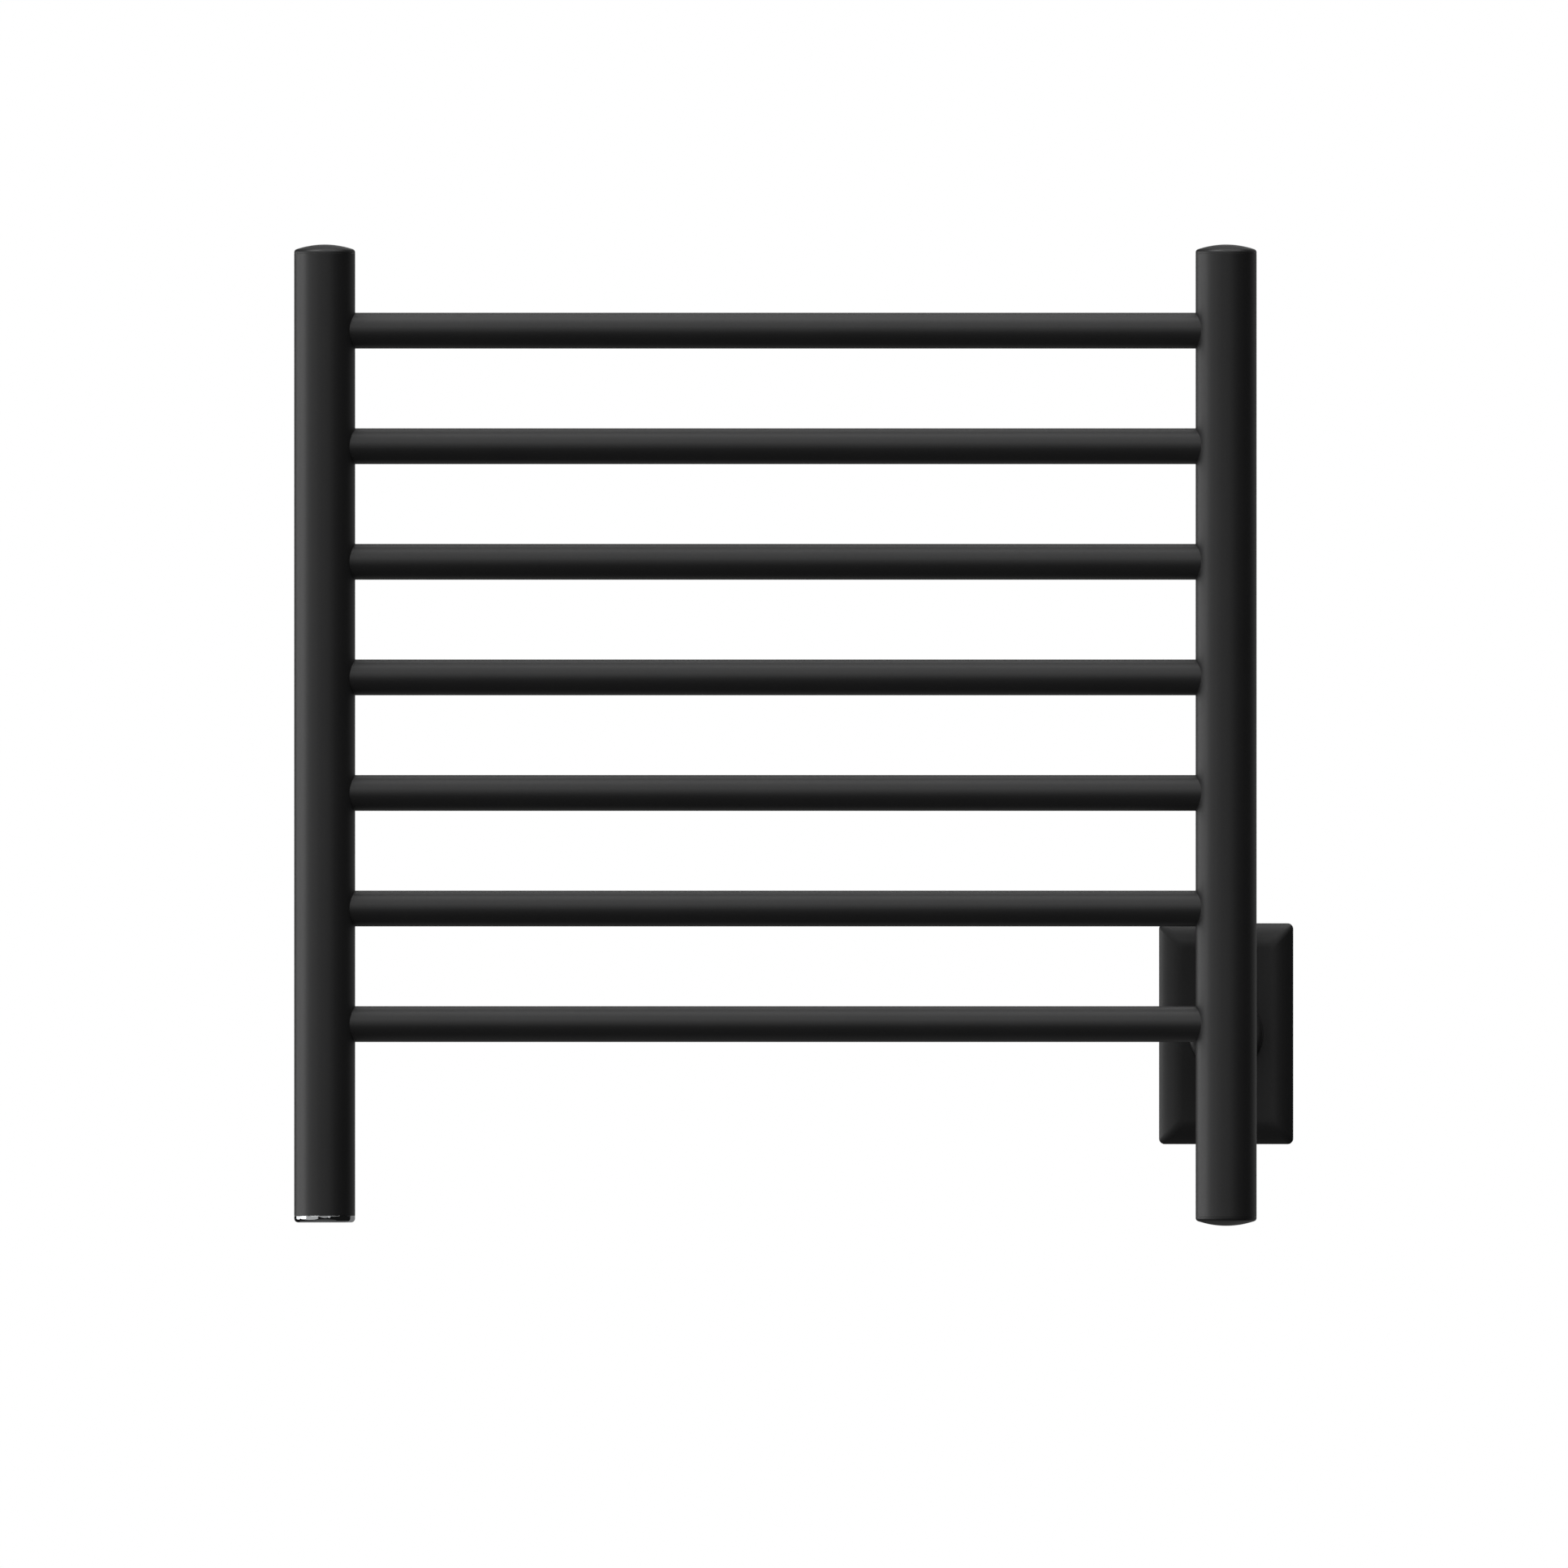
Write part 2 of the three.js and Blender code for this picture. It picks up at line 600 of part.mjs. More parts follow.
// A pillowed block: flat in the middle, with its borders curving back to a straight rim.
function pillow(width, height, depth, rim, back) {
  const drop = depth - rim;
  const radius = (PLATE_BORDER ** 2 + drop ** 2) / (2 * drop);
  const spread = Math.asin(PLATE_BORDER / radius);
  const profile = (size) => {
    const flat = size / 2 - PLATE_BORDER;
    const centreY = radius - depth;
    const low = -Math.PI / 2;
    return new THREE.Shape(
      [
        [-size / 2, back],
        ...arc(-flat, centreY, radius, low - spread, low, BORDER_STEPS),
        ...arc(flat, centreY, radius, low, low + spread, BORDER_STEPS),
        [size / 2, back],
      ].map(([x, y]) => new THREE.Vector2(x, y)),
    );
  };
  const acrossX = extruded(profile(width), height).translate(0, 0, -height / 2);
  const acrossZ = extruded(profile(height), width)
    .rotateY(-Math.PI / 2)
    .translate(width / 2, 0, 0);
  return solidOf(acrossX).intersect(solidOf(acrossZ));
}

function wallPlate() {
  const corners = roundedRectangle(PLATE_WIDTH, PLATE_HEIGHT, PLATE_CORNER);
  const outline = solidOf(facingWall(corners, -PLATE_DEPTH - 1, 1));
  const outer = pillow(PLATE_WIDTH, PLATE_HEIGHT, PLATE_DEPTH, PLATE_RIM, 0).intersect(outline);
  const inside = pillow(
    PLATE_WIDTH - 2 * PLATE_SHEET,
    PLATE_HEIGHT - 2 * PLATE_SHEET,
    PLATE_DEPTH - PLATE_SHEET,
    PLATE_RIM - PLATE_SHEET,
    1,
  );
  const armHole = rod(ARM_RADIUS + GAP, -PLATE_DEPTH - 1, 1, SMALL_SIDES);
  const half = PLATE_HEIGHT / 2;
  const screwHole = upright(rod(PLATE_SCREW_RADIUS + GAP, -half - 1, half + 1, HOLE_SIDES));
  screwHole.translate(0, PLATE_SCREW_Y, 0);
  return geometryOf(
    outer.subtract(inside).subtract(solidOf(armHole)).subtract(solidOf(screwHole)),
  );
}

// The steel strap that screws to the box in the wall and holds the plate by its bent ends.
function mountingStrap() {
  const outline = roundedRectangle(STRAP_WIDTH, STRAP_HEIGHT, STRAP_CORNER);
  const sheet = facingWall(outline, STRAP_FRONT_Y, STRAP_BACK_Y);
  const tabs = [-1, 1].map((end) => {
    const depth = STRAP_TAB_DEPTH + STRAP_SHEET;
    return solidOf(
      new THREE.BoxGeometry(STRAP_TAB_WIDTH, depth, STRAP_SHEET).translate(
        0,
        STRAP_BACK_Y - depth / 2,
        (end * (STRAP_HEIGHT - STRAP_SHEET)) / 2,
      ),
    );
  });
  const armHole = rod(ARM_RADIUS + 3 * GAP, -PLATE_DEPTH, 1, SMALL_SIDES);
  const groundHole = rod(GROUND_SCREW_RADIUS + GAP, -PLATE_DEPTH, 1, HOLE_SIDES);
  groundHole.translate(0, 0, GROUND_SCREW_Z);
  const slots = [-1, 1].map((end) => {
    const slotEnd = BOX_SLOT_WIDTH / 2 - 0.1;
    const slot = roundedRectangle(BOX_SLOT_LENGTH, BOX_SLOT_WIDTH, slotEnd);
    return facingWall(slot, -PLATE_DEPTH, 1).translate(0, 0, (end * BOX_SCREW_SPACING) / 2);
  });
  const joined = solidOf(sheet).add(tabs[0]).add(tabs[1]);
  return cut(geometryOf(joined), armHole, groundHole, ...slots);
}

// A grub screw along Z with its hexagon socket at the upper end.
function grubScrew(radius, length) {
  const socket = upright(rod(radius / 2, length - radius, length + 1, HEXAGON));
  return cut(upright(rod(radius, 0, length, HOLE_SIDES)), socket);
}

function addWallPlate() {
  place("wall_plate", wallPlate(), "blackCoat");
  place("mounting_strap", mountingStrap(), "zincSteel");

  const screwLength = PLATE_HEIGHT / 2 - STRAP_HEIGHT / 2 - 2 * GAP;
  const screwStart = STRAP_HEIGHT / 2 + GAP;
  const screw = grubScrew(PLATE_SCREW_RADIUS, screwLength);
  place("plate_screw_top", screw, "blackCoat", [0, PLATE_SCREW_Y, screwStart]);
  const downwards = [Math.PI, 0, 0];
  const lower = [0, PLATE_SCREW_Y, -screwStart];
  place("plate_screw_bottom", screw.clone(), "blackCoat", lower, downwards);

  const groundScrew = turned(
    [
      [0, GROUND_HEAD_FRONT_Y],
      [GROUND_HEAD_RADIUS - GROUND_HEAD_CHAMFER, GROUND_HEAD_FRONT_Y],
      [GROUND_HEAD_RADIUS, GROUND_HEAD_FRONT_Y + GROUND_HEAD_CHAMFER],
      [GROUND_HEAD_RADIUS, STRAP_FRONT_Y - GAP],
      [GROUND_SCREW_RADIUS, STRAP_FRONT_Y - GAP],
      [GROUND_SCREW_RADIUS, STRAP_BACK_Y],
      [0, STRAP_BACK_Y],
    ],
    HOLE_SIDES,
  );
  place("ground_screw", groundScrew, "greenCoat", [0, 0, GROUND_SCREW_Z]);
}

// The hollow arm from the plate to the right post, with what holds it and closes it.
function addArm() {
  const tube = ring(ARM_BORE, ARM_RADIUS, POST_Y, ARM_END_Y, BAR_SIDES);
  const arm = cut(tube, postEnvelope(2 * ARM_RADIUS).translate(0, POST_Y, 0));
  place("supply_arm", arm, "blackCoat");

  const sleeve = ARM_RADIUS + GAP;
  const collarBack = -PLATE_DEPTH - GAP;
  const collarFront = collarBack - COLLAR_LENGTH;
  const collar = turned(
    [
      [sleeve, collarFront],
      ...arc(
        COLLAR_RADIUS - COLLAR_EDGE,
        collarFront + COLLAR_EDGE,
        COLLAR_EDGE,
        -Math.PI / 2,
        0,
        EDGE_STEPS,
      ),
      [COLLAR_RADIUS, collarBack],
      [sleeve, collarBack],
      [sleeve, collarFront],
    ],
    POST_SIDES,
  );
  place("arm_collar", collar, "blackCoat");

  const nutFront = PLATE_SHEET + GAP - PLATE_DEPTH;
  const nutBack = nutFront + LOCKNUT_THICKNESS;
  const nut = cut(
    rod(LOCKNUT_RADIUS, nutFront, nutBack, HEXAGON),
    rod(sleeve, nutFront - 1, nutBack + 1, SMALL_SIDES),
  );
  place("arm_locknut", nut, "zincSteel");

  const bushingFront = ARM_END_Y - BUSHING_LENGTH;
  const bushing = rod(ARM_BORE - GAP, bushingFront, ARM_END_Y, SMALL_SIDES);
  const leadHoles = [CUTOFF_X + CUTOFF_LEAD_OFFSET, SPLICE_X + SPLICE_LEAD_OFFSET].map((x) => {
    const hole = rod(LEAD_RADIUS + GAP, bushingFront - 1, 1, HOLE_SIDES);
    return hole.translate(x, 0, LEAD_EXIT_Z);
  });
  place("arm_bushing", cut(bushing, ...leadHoles), "blackRubber");
}

// A standoff: a boss on the wall, a stem from it to the post, and the screw that clamps the stem.
function addStandoff(suffix, x, z) {
  const boss = turned(
    [
      [WALL_SCREW_RADIUS, -BOSS_BASE],
      [STEM_RADIUS + GAP, -BOSS_BASE],
      [STEM_RADIUS + GAP, -BOSS_LENGTH],
      ...arc(
        BOSS_RADIUS - BOSS_EDGE,
        BOSS_EDGE - BOSS_LENGTH,
        BOSS_EDGE,
        -Math.PI / 2,
        0,
        EDGE_STEPS,
      ),
      [BOSS_RADIUS, 0],
      [WALL_SCREW_RADIUS, 0],
      [WALL_SCREW_RADIUS, -BOSS_BASE],
    ],
    BAR_SIDES,
  );
  const screwHole = upright(
    rod(BOSS_SCREW_RADIUS + GAP, -BOSS_RADIUS - 1, -STEM_RADIUS + 1, HOLE_SIDES),
  ).translate(0, BOSS_SCREW_Y, 0);
  place(`wall_boss_${suffix}`, cut(boss, screwHole), "blackCoat", [x, 0, z]);

  const tube = ring(STEM_BORE, STEM_RADIUS, POST_Y, -BOSS_BASE - GAP, SMALL_SIDES);
  const stem = cut(tube, postEnvelope(2 * STEM_RADIUS).translate(0, POST_Y, 0));
  place(`standoff_stem_${suffix}`, stem, "blackCoat", [x, 0, z]);

  const screwLength = BOSS_RADIUS - STEM_RADIUS - 2 * GAP;
  const screw = grubScrew(BOSS_SCREW_RADIUS, screwLength);
  const screwTop = z - STEM_RADIUS - GAP;
  place(`boss_screw_${suffix}`, screw, "blackCoat", [x, BOSS_SCREW_Y, screwTop], [Math.PI, 0, 0]);
}

addPosts();
addBars();
addCaps();
addSwitch();
addHeatingCable();
addWiring();
addWallPlate();
addArm();
addStandoff("top_left", LEFT_X, UPPER_STANDOFF_Z);
addStandoff("top_right", RIGHT_X, UPPER_STANDOFF_Z);
addStandoff("bottom_left", LEFT_X, 0);

export default rack;
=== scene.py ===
# Looks of the wall-mounted towel warmer rack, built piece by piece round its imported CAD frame.
# Lengths are in metres. X runs along the bars, -Y faces the room and Z is up.

import json
import math

import bmesh
import bpy
from mathutils import Matrix, Vector


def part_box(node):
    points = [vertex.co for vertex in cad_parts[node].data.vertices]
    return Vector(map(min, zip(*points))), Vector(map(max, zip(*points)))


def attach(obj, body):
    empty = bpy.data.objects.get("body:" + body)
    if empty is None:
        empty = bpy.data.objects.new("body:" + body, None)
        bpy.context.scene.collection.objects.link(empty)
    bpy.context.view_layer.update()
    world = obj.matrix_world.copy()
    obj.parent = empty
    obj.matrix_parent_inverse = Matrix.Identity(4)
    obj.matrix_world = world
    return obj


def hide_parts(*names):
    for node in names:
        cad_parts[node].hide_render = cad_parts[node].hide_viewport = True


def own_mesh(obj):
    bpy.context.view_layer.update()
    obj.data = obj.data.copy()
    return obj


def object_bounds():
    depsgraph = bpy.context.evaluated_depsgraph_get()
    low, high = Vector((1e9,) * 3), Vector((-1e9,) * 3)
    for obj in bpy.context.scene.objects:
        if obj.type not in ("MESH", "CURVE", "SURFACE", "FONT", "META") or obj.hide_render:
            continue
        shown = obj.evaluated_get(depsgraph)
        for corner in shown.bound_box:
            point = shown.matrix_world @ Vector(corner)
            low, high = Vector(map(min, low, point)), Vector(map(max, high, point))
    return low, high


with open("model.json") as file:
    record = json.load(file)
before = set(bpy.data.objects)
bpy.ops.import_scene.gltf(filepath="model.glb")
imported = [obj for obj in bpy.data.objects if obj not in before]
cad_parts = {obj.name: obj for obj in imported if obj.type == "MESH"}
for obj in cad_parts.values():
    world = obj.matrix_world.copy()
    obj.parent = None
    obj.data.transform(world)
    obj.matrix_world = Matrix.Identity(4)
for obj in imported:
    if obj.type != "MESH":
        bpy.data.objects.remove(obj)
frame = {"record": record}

MM = 0.001
CAD_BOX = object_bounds()
BODY_OF = {
    node: body
    for body, nodes in frame["record"]["behaviour"]["bodies"].items()
    for node in nodes
}
SLOT_OF = {part["node"]: part["material_slot"] for part in frame["record"]["subparts"]}


def middle(node):
    low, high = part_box(node)
    return (low + high) / 2


def size(node):
    low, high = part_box(node)
    return high - low


# ---- Driving sizes ----

LEFT_AXIS = middle("left_post")
RIGHT_AXIS = middle("right_post")
POST_Y = LEFT_AXIS.y
POST_RADIUS = size("left_post").x / 2
POST_BORE = POST_RADIUS - 1.5 * MM
BAR_COUNT = 7
BAR_RADIUS = size("bar_1").z / 2
BAR_BORE = BAR_RADIUS - 1.2 * MM
BAR_HEIGHTS = [middle(f"bar_{number}").z for number in range(1, BAR_COUNT + 1)]
PASSAGE_RADIUS = 7 * MM
WELD_FILLET = 0.2 * MM
HAIRLINE = 0.01 * MM  # what is left between pieces that touch
GAP = 0.3 * MM  # clearance between pieces that are only near each other
SLIP = 0.1 * MM  # clearance of a piece that slides or screws into another
CUT_PAST = 1 * MM  # how far a cutting tool reaches past the face that it cuts

EDGE = 0.3 * MM  # rounding of a machined or moulded edge
FINE_EDGE = 0.2 * MM  # rounding of a tube's cut end or a small part's lip
SEAM_EDGE = 0.15 * MM  # rounding where two visible pieces meet
BURR = 0.08 * MM  # rounding of a stamped or slotted edge

CAP_HEIGHT = 4.4 * MM
CAP_DOME_RADIUS = 47.5 * MM
CAP_EDGE_RADIUS = 1.9 * MM
SPIGOT_LENGTH = 8 * MM
SPIGOT_RADIUS = POST_BORE - GAP

PLATE_SIZE = size("wall_plate")
PLATE_RIM = 4.2 * MM
PLATE_BORDER = 13 * MM
PLATE_CORNER = 3.1 * MM
PLATE_EDGE = 0.5 * MM
PLATE_SHEET = 1.6 * MM

STRAP_SHEET = 1.5 * MM
STRAP_EDGE = 0.12 * MM
STRAP_BEND = 1.2 * MM
STRAP_TAB_WIDTH = 12 * MM
STRAP_CORNER = 4 * MM
BOX_SCREW_SPACING = 83.3 * MM
BOX_SLOT = (9 * MM, 4.4 * MM, 2.1 * MM)  # length, width and corner radius
GROUND_HOLE_RADIUS = 1.7 * MM
GROUND_SHANK_RADIUS = 1.4 * MM

ARM_RADIUS = size("supply_arm").x / 2
ARM_BORE = 10 * MM
COLLAR_EDGE = 3.5 * MM  # rounder than in CAD, because it shades more like the photo
STEM_RADIUS = size("standoff_stem_top_left").x / 2
STEM_BORE = 7.5 * MM
BOSS_RADIUS = size("wall_boss_top_left").x / 2
BOSS_BASE = 4 * MM
BOSS_EDGE = 1.5 * MM
WALL_SCREW_RADIUS = 2.6 * MM

SEAL_INNER = 12.6 * MM
BEZEL_BORE = 10.3 * MM
BEZEL_NECK_HOLE = 7 * MM
BEZEL_LEDGE = 2 * MM
BEZEL_EDGE = 2.2 * MM
SWITCH_NECK = 6.7 * MM
SWITCH_BORE = 4.4 * MM
SWITCH_BORE_TOP_Z = -72 * MM
BUTTON_DISC_TOP_Z = -96.5 * MM
BUTTON_EDGE = 0.6 * MM
BUTTON_DISH = 0.35 * MM
PLUNGER_RADIUS = 4.1 * MM
PLUNGER_EDGE = 0.4 * MM
SPRING_WIRE = 0.35 * MM
SPRING_TURNS = 4
SPRING_STEPS = 32  # points to each turn
TERMINAL_TIP = 0.6 * MM
TERMINAL_HOLE_RADIUS = 0.6 * MM
TERMINAL_HOLE_DEPTH = 3.5 * MM  # from the tip to the detent hole's centre

LEAD_RADIUS = 1.6 * MM
LEAD_BEND = 8 * MM
LEAD_EXIT_Z = -3 * MM
LINE_LEAD_X = middle("thermal_cutoff").x + 2.2 * MM
SWITCH_LEAD_X = middle("thermal_cutoff").x - 2.2 * MM
NEUTRAL_LEAD_X = middle("neutral_splice").x + 2.7 * MM
CABLE_RADIUS = 2.5 * MM
CABLE_BEND = 12 * MM
CABLE_Y = POST_Y - 3.4 * MM
LEAD_Y = POST_Y + 4.4 * MM
CROSSOVER_START = 12 * MM  # above the second bar, where the riser starts to lean forward
CROSSOVER_LENGTH = 26 * MM
SPLICE_CABLE_OFFSET = -1.8 * MM
CUTOFF_CORNER = 1.2 * MM
CRIMP_DEPTH = 0.35 * MM
CRIMP_DROP = 7 * MM  # from the splice's open end to the middle of its crimp

SIDES = 128  # points round a large turned piece
FINE_SIDES = 48  # points round a small one
HOLE_SIDES = 24
LEAD_HOLE_SIDES = 32
NUT_SIDES = 96
CORNER_STEPS = 5
SHARP_ANGLE = math.radians(38)


# ---- Outlines ----


def arc(x, y, radius, start, end, steps=12):
    """Points of a circular arc; its angles are in degrees."""
    angles = [math.radians(start + (end - start) * i / steps) for i in range(steps + 1)]
    return [(x + radius * math.cos(a), y + radius * math.sin(a)) for a in angles]


def outline(*corners):
    """A closed outline through corners (x, y) or (x, y, radius), the latter rounded."""
    points = []
    for i, (x, y, *radius) in enumerate(corners):
        corner = Vector((x, y))
        if not radius:
            points.append(corner)
            continue
        incoming = (corner - Vector(corners[i - 1][:2])).normalized()
        outgoing = (Vector(corners[(i + 1) % len(corners)][:2]) - corner).normalized()
        turn = incoming.angle_signed(outgoing, 0)
        reach = radius[0] * math.tan(abs(turn) / 2)
        inward = (outgoing - incoming).normalized()
        centre = corner + inward * radius[0] / math.cos(turn / 2)
        first = corner - incoming * reach - centre
        for step in range(CORNER_STEPS + 1):
            points.append(centre + Matrix.Rotation(-turn * step / CORNER_STEPS, 2) @ first)
    return [tuple(point) for point in points]


def rounded_rectangle(width, height, radius, steps=CORNER_STEPS):
    """A rounded rectangle's outline round the origin; its number of points depends only on steps."""
    x, y = width / 2 - radius, height / 2 - radius
    quarters = [(x, y, 0), (-x, y, 90), (-x, -y, 180), (x, -y, 270)]
    return [p for cx, cy, start in quarters for p in arc(cx, cy, radius, start, start + 90, steps)]


# ---- Meshes ----


def mesh_object(name, mesh):
    data = bpy.data.meshes.new(name)
    bmesh.ops.recalc_face_normals(mesh, faces=mesh.faces)
    mesh.to_mesh(data)
    mesh.free()
    piece = bpy.data.objects.new(name, data)
    bpy.context.scene.collection.objects.link(piece)
    return piece


def skin(name, rings, looped=False):
    """A mesh over successive rings of points; a ring of one point closes an end."""
    mesh = bmesh.new()
    rows = [[mesh.verts.new(point) for point in ring] for ring in rings]
    pairs = list(zip(rows, rows[1:]))
    if looped:
        pairs.append((rows[-1], rows[0]))
    for low, high in pairs:
        count = max(len(low), len(high))
        for i in range(count):
            j = (i + 1) % count
            corners = [low[i % len(low)], low[j % len(low)], high[j % len(high)], high[i % len(high)]]
            mesh.faces.new(dict.fromkeys(corners))
    for row in (rows[0], rows[-1]):
        if not looped and len(row) > 1:
            mesh.faces.new(row)
    return mesh_object(name, mesh)


def across_axis(axis, across, up, height):
    """A point at a height along the X, Y or Z axis, and across and up in the plane square to it."""
    return {
        "X": Vector((height, across, up)),
        "Y": Vector((across, height, up)),
        "Z": Vector((across, up, height)),
    }[axis]


def on_axis(axis, radius, angle, height):
    """A point at a radius and angle round the X, Y or Z axis, and at a height along it."""
    return across_axis(axis, radius * math.cos(angle), radius * math.sin(angle), height)


def turned(name, profile, axis="Z", place=(0, 0, 0), sides=SIDES):
    """A profile of (radius, height) points turned round an axis. It is solid where it meets the axis."""
    place = Vector(place)
    rings = []
    for radius, height in profile:
        count = sides if radius > 1e-7 else 1
        angles = [2 * math.pi * i / count for i in range(count)]
        rings.append([place + on_axis(axis, radius, angle, height) for angle in angles])
    return skin(name, rings, looped=len(rings[0]) > 1)


def prism(name, points, low, high, axis="Z", place=(0, 0, 0)):
    """An outline given a thickness along an axis."""
    place = Vector(place)
    rings = [[place + across_axis(axis, a, b, height) for a, b in points] for height in (low, high)]
    return skin(name, rings)


def hexagon(radius):
    return arc(0, 0, radius, 0, 300, 5)


def rod(name, radius, low, high, axis="Z", place=(0, 0, 0), sides=FINE_SIDES):
    return turned(name, [(0, low), (radius, low), (radius, high), (0, high)], axis, place, sides)


def bake(piece):
    """Applies a piece's modifiers to its mesh."""
    graph = bpy.context.evaluated_depsgraph_get()
    made = bpy.data.meshes.new_from_object(piece.evaluated_get(graph))
    old = piece.data
    piece.modifiers.clear()
    piece.data = made
    bpy.data.meshes.remove(old)


def combine(piece, operation, *tools):
    """Cuts tools out of a piece, joins them to it or keeps what they share, and deletes them."""
    for tool in tools:
        modifier = piece.modifiers.new("shape", "BOOLEAN")
        modifier.operation = operation
        modifier.solver = "EXACT"
        modifier.object = tool
    bake(piece)
    for tool in tools:
        data = tool.data
        bpy.data.objects.remove(tool)
        bpy.data.meshes.remove(data)
    return piece


def soften(piece, width, segments=2):
    """Rounds every sharp edge of a piece."""
    modifier = piece.modifiers.new("edges", "BEVEL")
    modifier.width = width
    modifier.segments = segments
    modifier.limit_method = "ANGLE"
    modifier.angle_limit = SHARP_ANGLE
    bake(piece)
    return piece


def swept(name, points, radius, sides=24):
    """A round cable or wire of one thickness along a line of points."""
    rings = []
    start = (points[1] - points[0]).normalized()
    across = Vector((0, 1, 0)) if abs(start.y) < 0.9 else Vector((1, 0, 0))
    for i, point in enumerate(points):
        ahead = points[min(i + 1, len(points) - 1)]
        behind = points[max(i - 1, 0)]
        along = (ahead - behind).normalized()
        across = (across - along * across.dot(along)).normalized()
        beside = along.cross(across)
        ring = []
        for side in range(sides):
            angle = 2 * math.pi * side / sides
            ring.append(point + (across * math.cos(angle) + beside * math.sin(angle)) * radius)
        rings.append(ring)
    return skin(name, [[points[0]], *rings, [points[-1]]])


def route(corners, bend, steps=10):
    """A cable's centre line: straight runs between corners, each corner rounded to one bend."""
    corners = [Vector(corner) for corner in corners]
    points = [corners[0]]
    for before, corner, after in zip(corners, corners[1:], corners[2:]):
        incoming = (corner - before).normalized()
        outgoing = (after - corner).normalized()
        turn = incoming.angle(outgoing)
        start = corner - incoming * bend * math.tan(turn / 2)
        inward = (outgoing - incoming * math.cos(turn)).normalized()
        centre = start + inward * bend
        for step in range(steps + 1):
            angle = turn * step / steps
            points.append(centre + (incoming * math.sin(angle) - inward * math.cos(angle)) * bend)
    return [*points, corners[-1]]


# ---- Finishes ----


class Finish:
    """A procedural material, built node by node round one Principled shader."""

    def __init__(self, slot, metallic=0.0, **sockets):
        self.material = bpy.data.materials.new(f"{slot}_finish")
        self.material.use_nodes = True
        self.tree = self.material.node_tree
        self.shader = self.tree.nodes["Principled BSDF"]
        self.shader.inputs["Metallic"].default_value = metallic
        for name, value in sockets.items():
            self.shader.inputs[name.replace("_", " ")].default_value = value
        self.place = self.node("ShaderNodeTexCoord").outputs["Object"]
        self.height = None

    def node(self, kind, **settings):
        made = self.tree.nodes.new(kind)
        for name, value in settings.items():
            setattr(made, name, value)
        return made

    def link(self, source, target):
        self.tree.links.new(source, target)

    def stretched(self, scale):
        """The object's coordinates, scaled along X, Y and Z to draw a pattern out into streaks."""
        mapping = self.node("ShaderNodeMapping")
        mapping.inputs["Scale"].default_value = scale
        self.link(self.place, mapping.inputs["Vector"])
        return mapping.outputs["Vector"]

    def noise(self, grain, detail=3.0, roughness=0.5, place=None):
        """Soft noise whose lumps are about one grain across."""
        texture = self.node("ShaderNodeTexNoise")
        texture.inputs["Scale"].default_value = 1 / grain
        texture.inputs["Detail"].default_value = detail
        texture.inputs["Roughness"].default_value = roughness
        self.link(place or self.place, texture.inputs["Vector"])
        return texture.outputs["Fac"]

    def cells(self, grain, place=None):
        """Rounded cells about one grain across, for orange peel and moulded grain."""
        texture = self.node("ShaderNodeTexVoronoi", feature="SMOOTH_F1")
        texture.inputs["Scale"].default_value = 1 / grain
        texture.inputs["Smoothness"].default_value = 1.0
        self.link(place or self.place, texture.inputs["Vector"])
        return texture.outputs["Distance"]

    def mapped(self, source, low, high, start=0.3, end=0.7):
        """A pattern's values from start to end spread between low and high."""
        ramp = self.node("ShaderNodeMapRange", clamp=True)
        ramp.inputs["From Min"].default_value = start
        ramp.inputs["From Max"].default_value = end
        ramp.inputs["To Min"].default_value = low
        ramp.inputs["To Max"].default_value = high
        self.link(source, ramp.inputs["Value"])
        return ramp.outputs["Result"]

    def colour(self, source, dark, light, start=0.3, end=0.7):
        mix = self.node("ShaderNodeMix", data_type="RGBA")
        mix.inputs["A"].default_value = (*dark, 1)
        mix.inputs["B"].default_value = (*light, 1)
        self.link(self.mapped(source, 0, 1, start, end), mix.inputs["Factor"])
        self.link(mix.outputs["Result"], self.shader.inputs["Base Color"])

    def roughness(self, source, low, high):
        self.link(self.mapped(source, low, high), self.shader.inputs["Roughness"])

    def relief(self, source, depth):
        """Adds a pattern to the surface's fine relief, depth metres from its lows to its highs."""
        bump = self.node("ShaderNodeBump")
        bump.inputs["Strength"].default_value = 1.0
        bump.inputs["Distance"].default_value = depth
        self.link(source, bump.inputs["Height"])
        if self.height:
            self.link(self.height, bump.inputs["Normal"])
        self.height = bump.outputs["Normal"]
        self.link(self.height, self.shader.inputs["Normal"])


def black_coat():
    """Matte powder coat: faint orange peel, finer grain on it, and a slightly uneven sheen."""
    coat = Finish("black_coat", Specular_IOR_Level=0.52)
    clouds = coat.noise(40 * MM, 2.0)
    grain = coat.noise(0.7 * MM, 2.0)
    coat.colour(clouds, (0.0175, 0.0175, 0.0180), (0.0195, 0.0195, 0.0200))
    coat.roughness(grain, 0.41, 0.48)
    coat.relief(coat.cells(2.2 * MM), 0.002 * MM)
    coat.relief(grain, 0.001 * MM)
    return coat.material


def chrome():
    """Polished plate: a mirror with a trace of haze and very slight waviness."""
    plate = Finish("chrome", 1.0)
    haze = plate.noise(6 * MM, 3.0)
    plate.colour(haze, (0.57, 0.58, 0.59), (0.62, 0.63, 0.64))
    plate.roughness(haze, 0.05, 0.10)
    plate.relief(plate.noise(9 * MM, 1.0), 0.001 * MM)
    return plate.material


def clear_lens():
    lens = Finish("clear_lens", IOR=1.58, Transmission_Weight=0.35, Coat_Weight=0.4)
    cloud = lens.noise(1.2 * MM)
    lens.colour(cloud, (0.42, 0.49, 0.55), (0.50, 0.57, 0.63))
    lens.roughness(cloud, 0.10, 0.18)
    lens.relief(lens.cells(0.8 * MM), 0.01 * MM)
    return lens.material


